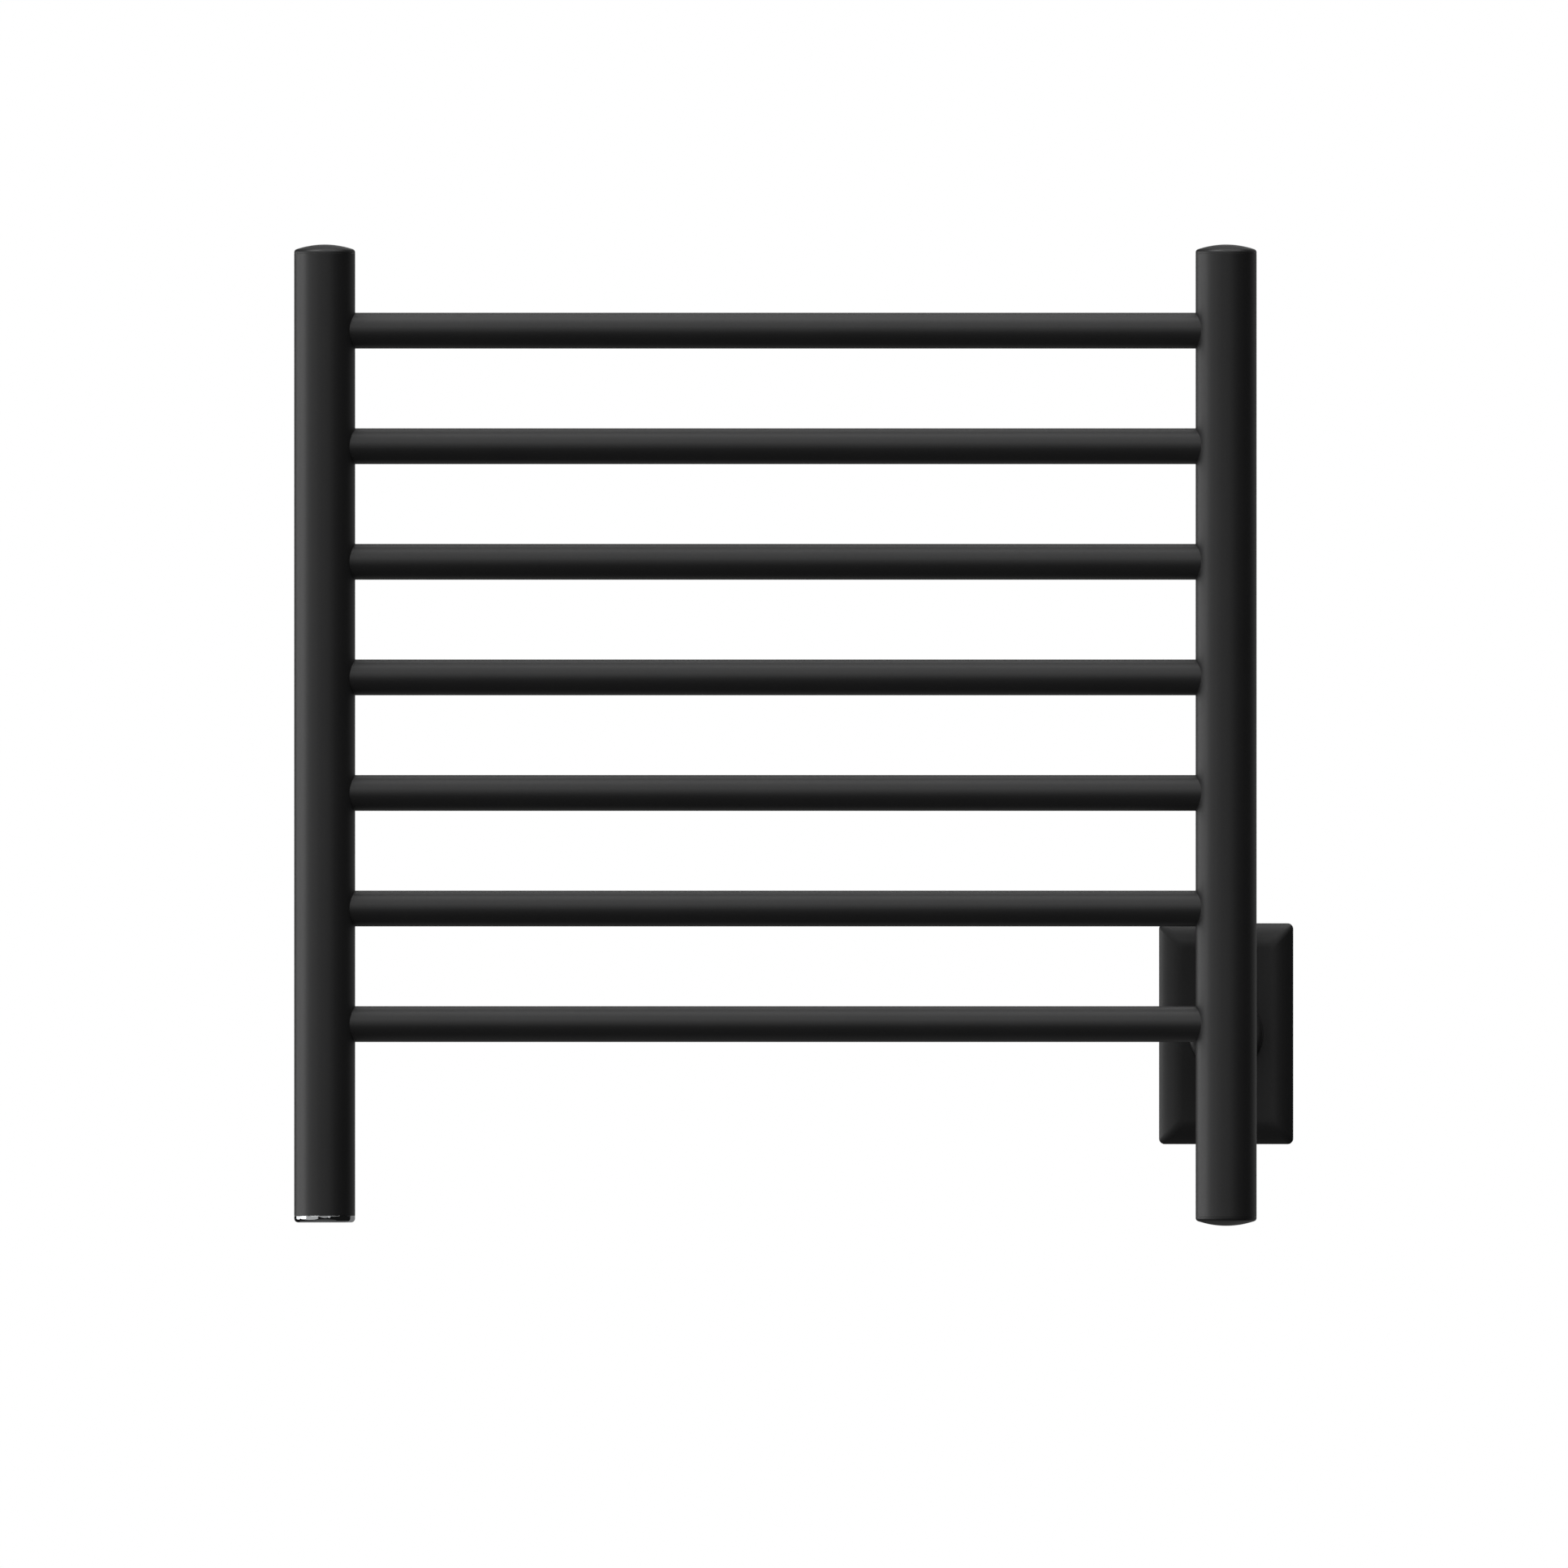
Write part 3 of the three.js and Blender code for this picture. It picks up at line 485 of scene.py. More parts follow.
def moulded(slot, dark, light, low, high, grain):
    """Moulded plastic or rubber with a spark-eroded grain and slight colour variation."""
    plastic = Finish(slot)
    plastic.colour(plastic.noise(8 * MM), dark, light)
    plastic.roughness(plastic.noise(2 * grain), low, high)
    plastic.relief(plastic.cells(grain), 0.02 * MM)
    plastic.relief(plastic.noise(grain / 3), 0.008 * MM)
    return plastic.material


def jacket(slot, dark, light, low, high):
    """An extruded cable jacket: soft mottling and a fine grain."""
    skin_of_cable = Finish(slot)
    skin_of_cable.colour(skin_of_cable.noise(5 * MM), dark, light)
    skin_of_cable.roughness(skin_of_cable.noise(1.5 * MM), low, high)
    skin_of_cable.relief(skin_of_cable.noise(0.6 * MM), 0.01 * MM)
    return skin_of_cable.material


def plated(slot, dark, light, low, high, streak=(1, 1, 1)):
    """Plated or bare metal: spangled colour, and rolling or drawing marks along the long scale."""
    metal = Finish(slot, 1.0)
    streaks = metal.noise(0.5 * MM, 3.0, 0.6, metal.stretched(streak))
    metal.colour(metal.cells(3 * MM), dark, light, 0.1, 0.6)
    metal.roughness(streaks, low, high)
    metal.relief(streaks, 0.004 * MM)
    return metal.material


MATERIALS = {
    "black_coat": black_coat(),
    "chrome": chrome(),
    "clear_lens": clear_lens(),
    "black_plastic": moulded(
        "black_plastic", (0.012, 0.012, 0.014), (0.018, 0.018, 0.020), 0.45, 0.6, 0.5 * MM
    ),
    "ivory_plastic": moulded(
        "ivory_plastic", (0.68, 0.65, 0.52), (0.76, 0.73, 0.60), 0.4, 0.55, 0.7 * MM
    ),
    "black_rubber": moulded(
        "black_rubber", (0.010, 0.010, 0.010), (0.016, 0.016, 0.016), 0.7, 0.9, 0.4 * MM
    ),
    "brown_silicone": jacket("brown_silicone", (0.13, 0.030, 0.018), (0.17, 0.040, 0.024), 0.5, 0.65),
    "black_lead": jacket("black_lead", (0.012, 0.012, 0.012), (0.020, 0.020, 0.020), 0.4, 0.55),
    "white_lead": jacket("white_lead", (0.72, 0.72, 0.69), (0.82, 0.82, 0.79), 0.4, 0.55),
    "zinc_steel": plated(
        "zinc_steel", (0.55, 0.56, 0.58), (0.64, 0.65, 0.66), 0.42, 0.58, (1, 1, 0.08)
    ),
    "spring_steel": plated(
        "spring_steel", (0.26, 0.27, 0.28), (0.34, 0.35, 0.36), 0.22, 0.38, (1, 1, 0.3)
    ),
    "brass": plated("brass", (0.52, 0.33, 0.08), (0.62, 0.41, 0.12), 0.25, 0.42, (1, 1, 0.1)),
    "green_coat": plated("green_coat", (0.018, 0.17, 0.038), (0.026, 0.24, 0.055), 0.3, 0.45),
}


def stand_for(piece, node):
    """Finishes a piece, and puts it in the place of a CAD node on that node's body."""
    piece.data.shade_smooth()
    piece.data.set_sharp_from_angle(angle=SHARP_ANGLE)
    normals = piece.modifiers.new("broad faces lead", "WEIGHTED_NORMAL")
    normals.keep_sharp = True
    piece.data.materials.clear()
    piece.data.materials.append(MATERIALS[SLOT_OF[node]])
    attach(piece, BODY_OF[node])
    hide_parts(node)
    return piece


# ---- Posts, bars and caps ----


def add_post(side, facing):
    """A post's tube; facing is +1 where the bars leave it towards +X, and -1 towards -X."""
    node = f"{side}_post"
    low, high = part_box(node)
    axis = middle(node)
    beside_bar = BAR_RADIUS + 1.5 * MM  # a ring of points here keeps the facets at the bars short
    levels = sorted(z + end * beside_bar for z in BAR_HEIGHTS for end in (-1, 1))
    profile = outline(
        (POST_BORE, low.z, FINE_EDGE),
        (POST_RADIUS, low.z, FINE_EDGE),
        *[(POST_RADIUS, z) for z in levels],
        (POST_RADIUS, high.z, FINE_EDGE),
        (POST_BORE, high.z, FINE_EDGE),
        *[(POST_BORE, z) for z in reversed(levels)],
    )
    post = turned(f"{node}_tube", profile, "Z", (axis.x, axis.y, 0))
    past_wall = POST_RADIUS + 2 * CUT_PAST
    reach = sorted((0, facing * past_wall))
    passages = [
        rod("passage", PASSAGE_RADIUS, *reach, "X", (axis.x, axis.y, z)) for z in BAR_HEIGHTS
    ]
    if side == "right":
        passages.append(rod("arm_passage", ARM_BORE, 0, past_wall, "Y", (axis.x, axis.y, 0)))
    stand_for(combine(post, "DIFFERENCE", *passages), node)


def branch_rings(radius, bore, sides, place_at):
    """Rings of a tube's welded end, from its bore out over the fillet: place_at(across, up, along)."""
    stations = [(bore, 0.0)]
    steps = 6
    for step in range(steps + 1):
        along = WELD_FILLET * (1 - math.cos(math.pi / 2 * step / steps))
        flare = WELD_FILLET * (1 - math.sin(math.pi / 2 * step / steps))
        stations.append((radius + flare, along))
    rings = []
    for station, along in stations:
        ring = []
        for side in range(sides):
            angle = 2 * math.pi * side / sides
            across, up = station * math.cos(angle), station * math.sin(angle)
            reach = math.sqrt((POST_RADIUS + HAIRLINE) ** 2 - across**2)
            ring.append(place_at(across, up, reach + along))
        rings.append(ring)
    return rings


def add_bar(number):
    """A bar with both ends hollowed to fit the posts, and a small weld fillet round each."""
    node = f"bar_{number}"
    height = BAR_HEIGHTS[number - 1]

    def from_left(across, up, along):
        return Vector((LEFT_AXIS.x + along, POST_Y + across, height + up))

    def from_right(across, up, along):
        return Vector((RIGHT_AXIS.x - along, POST_Y + across, height + up))

    left = branch_rings(BAR_RADIUS, BAR_BORE, SIDES, from_left)
    right = branch_rings(BAR_RADIUS, BAR_BORE, SIDES, from_right)
    stand_for(skin(f"{node}_tube", left + right[::-1], looped=True), node)


def add_cap(node, post, up):
    """A domed plug in a post's end; up is +1 on top and -1 underneath."""
    low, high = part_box(node)
    top = high.z if up > 0 else low.z
    seat = top - up * CAP_HEIGHT
    post_low, post_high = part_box(post)
    rim = abs(seat - (post_high.z if up > 0 else post_low.z)) - HAIRLINE
    dome_centre = CAP_HEIGHT - CAP_DOME_RADIUS
    edge_x = POST_RADIUS - CAP_EDGE_RADIUS
    edge_angle = math.degrees(math.acos(edge_x / (CAP_DOME_RADIUS - CAP_EDGE_RADIUS)))
    edge_y = dome_centre + (CAP_DOME_RADIUS - CAP_EDGE_RADIUS) * math.sin(math.radians(edge_angle))
    chamfer = 0.6 * MM
    profile = [
        (0, -SPIGOT_LENGTH),
        (SPIGOT_RADIUS - chamfer, -SPIGOT_LENGTH),
        (SPIGOT_RADIUS, -SPIGOT_LENGTH + chamfer),
        (SPIGOT_RADIUS, -rim),
        (POST_RADIUS, -rim),
        *arc(edge_x, edge_y, CAP_EDGE_RADIUS, 0, edge_angle, 10),
        *arc(0, dome_centre, CAP_DOME_RADIUS, edge_angle, 90, 20)[1:-1],
        (0, CAP_HEIGHT),
    ]
    profile = [(radius, up * height) for radius, height in profile]
    axis = middle(node)
    stand_for(turned(f"{node}_plug", profile, "Z", (axis.x, axis.y, seat)), node)


# ---- Push switch ----


def add_switch():
    axis = Vector((LEFT_AXIS.x, LEFT_AXIS.y, 0))
    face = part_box("switch_bezel")[0].z
    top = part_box("switch_bezel")[1].z
    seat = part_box("left_post")[0].z - HAIRLINE * 4
    seal_low, seal_high = (corner.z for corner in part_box("bezel_seal"))
    groove = SEAL_INNER - GAP
    bezel = outline(
        (BEZEL_BORE, face, EDGE),
        (POST_RADIUS, face, BEZEL_EDGE),
        (POST_RADIUS, seat, SEAM_EDGE),
        (SPIGOT_RADIUS, seat),
        (SPIGOT_RADIUS, seal_low - GAP),
        (groove, seal_low - GAP),
        (groove, seal_high + GAP),
        (SPIGOT_RADIUS, seal_high + GAP),
        (SPIGOT_RADIUS, top, EDGE),
        (BEZEL_NECK_HOLE, top, EDGE),
        (BEZEL_NECK_HOLE, top - BEZEL_LEDGE),
        (BEZEL_BORE, top - BEZEL_LEDGE),
    )
    stand_for(turned("switch_bezel_ring", bezel, "Z", axis), "switch_bezel")

    seal_middle = (seal_low + seal_high) / 2
    seal_radius = (seal_high - seal_low) / 2
    seal_outer = size("bezel_seal").x / 2
    seal = [
        *arc(seal_outer - seal_radius, seal_middle, seal_radius, -90, 90),
        *arc(SEAL_INNER + seal_radius, seal_middle, seal_radius, 90, 270),
    ]
    stand_for(turned("bezel_seal_ring", seal, "Z", axis), "bezel_seal")

    add_switch_body(axis, top + GAP)
    add_switch_nut(axis)
    add_button(axis)
    add_spring(axis)
    for end in ("load", "line"):
        add_terminal(f"switch_terminal_{end}")


def add_switch_body(axis, shoulder):
    low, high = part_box("switch_body")
    radius = size("switch_body").x / 2
    edge = 2 * EDGE
    profile = [
        (0, SWITCH_BORE_TOP_Z),
        *outline(
            (0, SWITCH_BORE_TOP_Z),
            (SWITCH_BORE, SWITCH_BORE_TOP_Z),
            (SWITCH_BORE, low.z, FINE_EDGE),
            (SWITCH_NECK, low.z, FINE_EDGE),
            (SWITCH_NECK, shoulder),
            (radius, shoulder, edge),
            (radius, high.z, edge),
            (0, high.z),
        )[1:-1],
        (0, high.z),
    ]
    body = turned("switch_body_housing", profile, "Z", axis)
    sockets = []
    for end in ("load", "line"):
        blade_low, blade_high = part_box(f"switch_terminal_{end}")
        centre = middle(f"switch_terminal_{end}")
        blade = blade_high - blade_low
        walls = rounded_rectangle(blade.x + 2 * GAP, blade.y + 2 * GAP, FINE_EDGE, 2)
        place = (centre.x, centre.y, 0)
        sockets.append(prism("socket", walls, blade_low.z - GAP, high.z + CUT_PAST, "Z", place))
    stand_for(combine(body, "DIFFERENCE", *sockets), "switch_body")


def chamfered_nut(name, radius, bore, low, high, axis, place):
    """A hexagon nut with its corners chamfered on both faces."""
    chamfer = 0.12 * (high - low) + 0.04 * radius
    flat = radius * math.cos(math.pi / 6)
    outside = radius + 0.1 * MM
    cone = outline(
        (bore, low, FINE_EDGE),
        (flat, low),
        (outside, low + chamfer),
        (outside, high - chamfer),
        (flat, high),
        (bore, high, FINE_EDGE),
    )
    nut = turned(name, cone, axis, place, NUT_SIDES)
    block = prism("block", hexagon(radius), low - CUT_PAST, high + CUT_PAST, axis, place)
    return combine(nut, "INTERSECT", block)


def add_switch_nut(axis):
    low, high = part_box("switch_nut")
    radius = size("switch_nut").x / 2
    nut = chamfered_nut("switch_nut_hexagon", radius, BEZEL_NECK_HOLE, low.z, high.z, "Z", axis)
    stand_for(nut, "switch_nut")


def add_button(axis):
    """The button's dished face with the lens let into it, and the plunger behind."""
    low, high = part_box("switch_button")
    face = low.z
    radius = size("switch_button").x / 2
    lens_low, lens_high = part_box("switch_lens")
    lens_radius = size("switch_lens").x / 2
    well = lens_radius + GAP
    rim = radius - BUTTON_EDGE
    hollow = [
        (well + (rim - well) * t, face + BUTTON_DISH * (1 - t * t)) for t in (0, 0.2, 0.4, 0.6, 0.8)
    ]
    profile = [
        (0, lens_high.z + GAP),
        (well, lens_high.z + GAP),
        *hollow,
        *arc(rim, face + BUTTON_EDGE, BUTTON_EDGE, -90, 0, 6),
        *outline(
            (radius, face + 2 * BUTTON_EDGE),
            (radius, BUTTON_DISC_TOP_Z, BUTTON_EDGE),
            (PLUNGER_RADIUS, BUTTON_DISC_TOP_Z, EDGE),
            (PLUNGER_RADIUS, high.z, PLUNGER_EDGE),
            (0, high.z),
        )[1:-1],
        (0, high.z),
    ]
    stand_for(turned("switch_button_face", profile, "Z", axis), "switch_button")
    crown = [
        (lens_radius * math.sin(angle), lens_low.z + BUTTON_DISH * (1 - math.cos(angle)))
        for angle in (0.4, 0.8, 1.2)
    ]
    lens = [
        (0, lens_low.z),
        *crown,
        (lens_radius, lens_low.z + BUTTON_DISH),
        (lens_radius, lens_high.z),
        (0, lens_high.z),
    ]
    stand_for(turned("switch_lens_window", lens, "Z", axis), "switch_lens")


def add_spring(axis):
    low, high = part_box("switch_spring")
    radius = size("switch_spring").x / 2 - SPRING_WIRE
    length = high.z - low.z - 2 * SPRING_WIRE
    steps = SPRING_TURNS * SPRING_STEPS
    points = []
    for step in range(steps + 1):
        angle = 2 * math.pi * SPRING_TURNS * step / steps
        height = low.z + SPRING_WIRE + length * step / steps
        points.append(axis + on_axis("Z", radius, angle, height))
    coil = swept("switch_spring_coil", points, SPRING_WIRE, 12)
    spring = stand_for(coil, "switch_spring")
    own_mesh(spring)


def add_terminal(node):
    """A brass blade with a chamfered tip and a detent hole."""
    low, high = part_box(node)
    centre = middle(node)
    half = size(node).x / 2
    shoulder = high.z - TERMINAL_TIP
    points = [
        (-half, low.z),
        (half, low.z),
        (half, shoulder),
        (half - TERMINAL_TIP, high.z),
        (TERMINAL_TIP - half, high.z),
        (-half, shoulder),
    ]
    blade = prism(f"{node}_blade", points, low.y, high.y, "Y", (centre.x, 0, 0))
    ends = (low.y - CUT_PAST, high.y + CUT_PAST)
    place = (centre.x, 0, high.z - TERMINAL_HOLE_DEPTH)
    hole = rod("hole", TERMINAL_HOLE_RADIUS, *ends, "Y", place, HOLE_SIDES)
    stand_for(soften(combine(blade, "DIFFERENCE", hole), BURR), node)


# ---- Wiring ----


def add_heating_cable():
    """It climbs the left post, zigzags down through the bars and ends in the right post."""
    riser = middle("switch_terminal_load")
    crossover_low = BAR_HEIGHTS[1] + CROSSOVER_START
    crossover_high = crossover_low + CROSSOVER_LENGTH
    splice_x = middle("neutral_splice").x + SPLICE_CABLE_OFFSET
    corners = [
        (riser.x, LEAD_Y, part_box("switch_terminal_load")[1].z + GAP),
        (riser.x, LEAD_Y, crossover_low),
        (riser.x, CABLE_Y, crossover_high),
        (riser.x, CABLE_Y, BAR_HEIGHTS[0]),
    ]
    for number, (height, below) in enumerate(zip(BAR_HEIGHTS, BAR_HEIGHTS[1:])):
        turn_x = (RIGHT_AXIS if number % 2 == 0 else LEFT_AXIS).x
        corners += [(turn_x, CABLE_Y, height), (turn_x, CABLE_Y, below)]
    corners.append((splice_x, CABLE_Y, BAR_HEIGHTS[-1]))
    corners.append((splice_x, CABLE_Y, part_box("heating_cable")[0].z))
    cable = swept("heating_cable_run", route(corners, CABLE_BEND), CABLE_RADIUS)
    stand_for(cable, "heating_cable")


def add_leads():
    """The thin leads: two to the arm and the wall box, and one to the switch."""
    arm_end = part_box("supply_arm")[1].y
    joint_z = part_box("line_lead")[0].z
    blade = middle("switch_terminal_line")
    blade_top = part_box("switch_terminal_line")[1].z + GAP
    runs = {
        "line_lead": [
            (LINE_LEAD_X, arm_end, LEAD_EXIT_Z),
            (LINE_LEAD_X, LEAD_Y, LEAD_EXIT_Z),
            (LINE_LEAD_X, LEAD_Y, joint_z),
        ],
        "switch_lead": [
            (SWITCH_LEAD_X, LEAD_Y, joint_z),
            (SWITCH_LEAD_X, LEAD_Y, BAR_HEIGHTS[-1]),
            (blade.x, LEAD_Y, BAR_HEIGHTS[-1]),
            (blade.x, LEAD_Y, blade_top),
        ],
        "neutral_lead": [
            (NEUTRAL_LEAD_X, CABLE_Y, joint_z),
            (NEUTRAL_LEAD_X, CABLE_Y, LEAD_EXIT_Z),
            (NEUTRAL_LEAD_X, arm_end, LEAD_EXIT_Z),
        ],
    }
    for node, corners in runs.items():
        stand_for(swept(f"{node}_wire", route(corners, LEAD_BEND), LEAD_RADIUS), node)


def add_cutoff_and_splice():
    low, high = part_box("thermal_cutoff")
    centre = middle("thermal_cutoff")
    walls = rounded_rectangle(high.x - low.x, high.y - low.y, CUTOFF_CORNER)
    place = (centre.x, centre.y, 0)
    cutoff = prism("thermal_cutoff_case", walls, low.z, high.z, "Z", place)
    stand_for(soften(cutoff, EDGE, 3), "thermal_cutoff")

    low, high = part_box("neutral_splice")
    radius = size("neutral_splice").x / 2
    crimped = radius - CRIMP_DEPTH
    crimp_z = high.z - CRIMP_DROP
    crimp_outer, crimp_inner = 2 * MM, 1.4 * MM
    profile = [
        (0, low.z),
        *arc(0, low.z + radius, radius, -90, 0)[1:],
        (radius, crimp_z - crimp_outer),
        (crimped, crimp_z - crimp_inner),
        (crimped, crimp_z + crimp_inner),
        (radius, crimp_z + crimp_outer),
        *arc(crimped, high.z - CRIMP_DEPTH, CRIMP_DEPTH, 0, 90, 4),
        (0, high.z),
    ]
    centre = middle("neutral_splice")
    splice = turned("neutral_splice_cap", profile, "Z", (centre.x, centre.y, 0), FINE_SIDES)
    stand_for(splice, "neutral_splice")


# ---- Wall plate ----


def pillow_profile(depth, rim, edge):
    """(inset, depth) points of the plate's border, from the foot of its rim to its flat middle."""
    drop = depth - rim
    radius = (PLATE_BORDER**2 + drop**2) / (2 * drop)
    start = math.degrees(math.acos(PLATE_BORDER / radius))
    slope = [
        (inset, height)
        for inset, height in arc(PLATE_BORDER, depth - radius, radius, 180 - start, 90, 14)
    ]
    corner = outline((0, 0), (0, rim, edge), slope[1])[1:-1]
    on_the_flat = PLATE_BORDER + 2 * MM
    return [(0, 0), *corner, *slope[1:], (on_the_flat, depth)]


def add_wall_plate():
    """A pressed plate: a straight rim, borders that curve up to a flat middle, and a hollow back."""
    width, depth, height = PLATE_SIZE
    outside = pillow_profile(depth, PLATE_RIM, PLATE_EDGE)
    inside = [
        (PLATE_SHEET + inset, rise)
        for inset, rise in pillow_profile(depth - PLATE_SHEET, PLATE_RIM - PLATE_SHEET, PLATE_EDGE)
    ]
    rings = []
    for inset, rise in outside[::-1] + inside:
        loop = rounded_rectangle(width - 2 * inset, height - 2 * inset, PLATE_CORNER, 10)
        rings.append([Vector((x, -rise, z)) for x, z in loop])
    plate = skin("wall_plate_cover", rings)
    holes = [rod("arm_hole", ARM_RADIUS + GAP, -depth - CUT_PAST, CUT_PAST, "Y", sides=SIDES)]
    through_rim = 6 * MM
    for node in ("plate_screw_top", "plate_screw_bottom"):
        screw = middle(node)
        radius = size(node).x / 2 + GAP
        ends = (screw.z - through_rim, screw.z + through_rim)
        holes.append(rod("screw_hole", radius, *ends, "Z", (screw.x, screw.y, 0)))
    stand_for(combine(plate, "DIFFERENCE", *holes), "wall_plate")


def add_strap():
    """The steel strap behind the plate, with bent ends, box slots and the earth screw's hole."""
    low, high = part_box("mounting_strap")
    width, _, height = size("mounting_strap")
    back = high.y
    front = back - STRAP_SHEET
    blank = rounded_rectangle(width, height, STRAP_CORNER)
    strap = prism("mounting_strap_sheet", blank, front, back, "Y")
    tabs = []
    for end in (-1, 1):
        edge = end * height / 2
        inner = edge - end * STRAP_SHEET
        root = edge - end * 6 * MM
        section = outline(
            (back, root),
            (back, edge, STRAP_BEND),
            (low.y, edge),
            (low.y, inner),
            (front, inner, EDGE),
            (front, root),
        )
        tabs.append(prism("tab", section, -STRAP_TAB_WIDTH / 2, STRAP_TAB_WIDTH / 2, "X"))
    combine(strap, "UNION", *tabs)
    ground = middle("ground_screw")
    ends = (low.y - CUT_PAST, CUT_PAST)
    ground_place = (ground.x, 0, ground.z)
    holes = [
        rod("arm_hole", ARM_RADIUS + 3 * GAP, *ends, "Y"),
        rod("ground_hole", GROUND_HOLE_RADIUS, *ends, "Y", ground_place, HOLE_SIDES),
    ]
    slot = rounded_rectangle(*BOX_SLOT)
    for end in (-1, 1):
        holes.append(prism("slot", slot, *ends, "Y", (0, 0, end * BOX_SCREW_SPACING / 2)))
    combine(strap, "DIFFERENCE", *holes)
    stand_for(soften(strap, STRAP_EDGE), "mounting_strap")


def set_screw(node, tip, head):
    """An upright socket set screw, from its cup tip to its hexagon socket."""
    centre = middle(node)
    radius = min(size(node)) / 2
    out = 1 if head > tip else -1
    length = abs(head - tip)
    pitch = 0.7 * MM
    depth = 0.25 * MM
    chamfer = 0.35 * MM
    cup = 0.3 * MM
    socket_radius = 0.56 * radius
    ridges = int((length - 2 * chamfer) / pitch)
    profile = [(0, cup), (radius - chamfer - depth, 0), (radius - depth, chamfer)]
    for ridge in range(ridges):
        start = chamfer + ridge * pitch
        profile += [(radius, start + 0.5 * pitch), (radius - depth, start + pitch)]
    profile += [(radius - chamfer, length), (0, length)]
    place = (centre.x, centre.y, 0)
    profile = [(r, tip + out * h) for r, h in profile]
    screw = turned(f"{node}_socket", profile, "Z", place, FINE_SIDES)
    hollow = sorted((head - out * radius, head + out * CUT_PAST))
    socket = prism("socket", hexagon(socket_radius), *hollow, "Z", place)
    stand_for(combine(screw, "DIFFERENCE", socket), node)


def add_ground_screw():
    low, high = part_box("ground_screw")
    centre = middle("ground_screw")
    head = size("ground_screw").x / 2
    under = -2.3 * MM
    crown = 0.8 * MM
    slot_size = 0.9 * MM
    profile = [
        (0, low.y),
        (head - crown, low.y),
        *arc(head - crown, low.y + crown, crown, -90, 0, 6)[1:],
        (head, under),
        (GROUND_SHANK_RADIUS, under),
        (GROUND_SHANK_RADIUS, high.y),
        (0, high.y),
    ]
    place = (centre.x, 0, centre.z)
    screw = turned("ground_screw_head", profile, "Y", place, FINE_SIDES)
    slot = rounded_rectangle(2 * head + CUT_PAST, slot_size, 0.1 * MM, 1)
    cutter = prism("slot", slot, low.y - CUT_PAST, low.y + slot_size, "Y", place)
    stand_for(soften(combine(screw, "DIFFERENCE", cutter), BURR), "ground_screw")


# ---- Supply arm and standoffs ----


def add_stem(node, radius, bore, centre_x, centre_z):
    """A tube from the wall side to a post, its front end hollowed to fit the post."""
    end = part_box(node)[1].y

    def from_post(across, up, along):
        return Vector((centre_x + across, POST_Y + along, centre_z + up))

    rings = branch_rings(radius, bore, SIDES, from_post)
    for ring_radius, y in ((radius, end - EDGE), (radius - EDGE, end), (bore, end)):
        points = [on_axis("Y", ring_radius, 2 * math.pi * i / SIDES, y) for i in range(SIDES)]
        rings.append([point + Vector((centre_x, 0, centre_z)) for point in points])
    return stand_for(skin(f"{node}_tube", rings, looped=True), node)


def add_arm():
    add_stem("supply_arm", ARM_RADIUS, ARM_BORE, RIGHT_AXIS.x, 0)
    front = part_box("arm_collar")[0].y
    radius = size("arm_collar").x / 2
    sleeve = ARM_RADIUS + 2 * HAIRLINE
    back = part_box("wall_plate")[0].y - HAIRLINE
    collar = outline(
        (sleeve, front, EDGE),
        (radius, front, COLLAR_EDGE),
        (radius, back, SEAM_EDGE),
        (sleeve, back),
    )
    stand_for(turned("arm_collar_ring", collar, "Y"), "arm_collar")

    low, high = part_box("arm_locknut")
    across_corners = size("arm_locknut").x / 2
    bore = ARM_RADIUS + GAP
    nut = chamfered_nut("arm_locknut_hexagon", across_corners, bore, low.y, high.y, "Y", (0, 0, 0))
    stand_for(nut, "arm_locknut")

    low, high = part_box("arm_bushing")
    radius = size("arm_bushing").x / 2
    edge = 0.5 * MM
    profile = [
        (0, low.y),
        *arc(radius - edge, low.y + edge, edge, -90, 0, 4),
        *arc(radius - edge, high.y - edge, edge, 0, 90, 4),
        (0, high.y),
    ]
    bushing = turned("arm_bushing_plug", profile, "Y")
    ends = (low.y - CUT_PAST, CUT_PAST)
    holes = [
        rod("lead_hole", LEAD_RADIUS + SLIP, *ends, "Y", (x, 0, LEAD_EXIT_Z), LEAD_HOLE_SIDES)
        for x in (LINE_LEAD_X, NEUTRAL_LEAD_X)
    ]
    stand_for(combine(bushing, "DIFFERENCE", *holes), "arm_bushing")


def add_standoff(suffix):
    """A boss on the wall, the stem from it to the post, and the screw that clamps the stem."""
    boss_node = f"wall_boss_{suffix}"
    low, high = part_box(boss_node)
    centre = middle(boss_node)
    stem_node = f"standoff_stem_{suffix}"
    add_stem(stem_node, STEM_RADIUS, STEM_BORE, centre.x, centre.z)

    countersink = 1.6 * MM
    cup = STEM_RADIUS + SLIP
    floor = high.y - BOSS_BASE
    profile = outline(
        (WALL_SCREW_RADIUS, high.y),
        (WALL_SCREW_RADIUS, floor + countersink),
        (WALL_SCREW_RADIUS + countersink, floor),
        (cup, floor),
        (cup, low.y, EDGE),
        (BOSS_RADIUS, low.y, BOSS_EDGE),
        (BOSS_RADIUS, high.y, EDGE),
    )
    boss = turned(f"{boss_node}_cup", profile, "Y", (centre.x, 0, centre.z))
    screw_node = f"boss_screw_{suffix}"
    screw = middle(screw_node)
    reach = (screw.z - 10 * MM, centre.z - STEM_RADIUS + CUT_PAST)
    radius = size(screw_node).x / 2 + SLIP
    hole = rod("clamp_hole", radius, *reach, "Z", (screw.x, screw.y, 0))
    stand_for(combine(boss, "DIFFERENCE", hole), boss_node)
    screw_low, screw_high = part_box(screw_node)
    set_screw(screw_node, screw_high.z, screw_low.z)


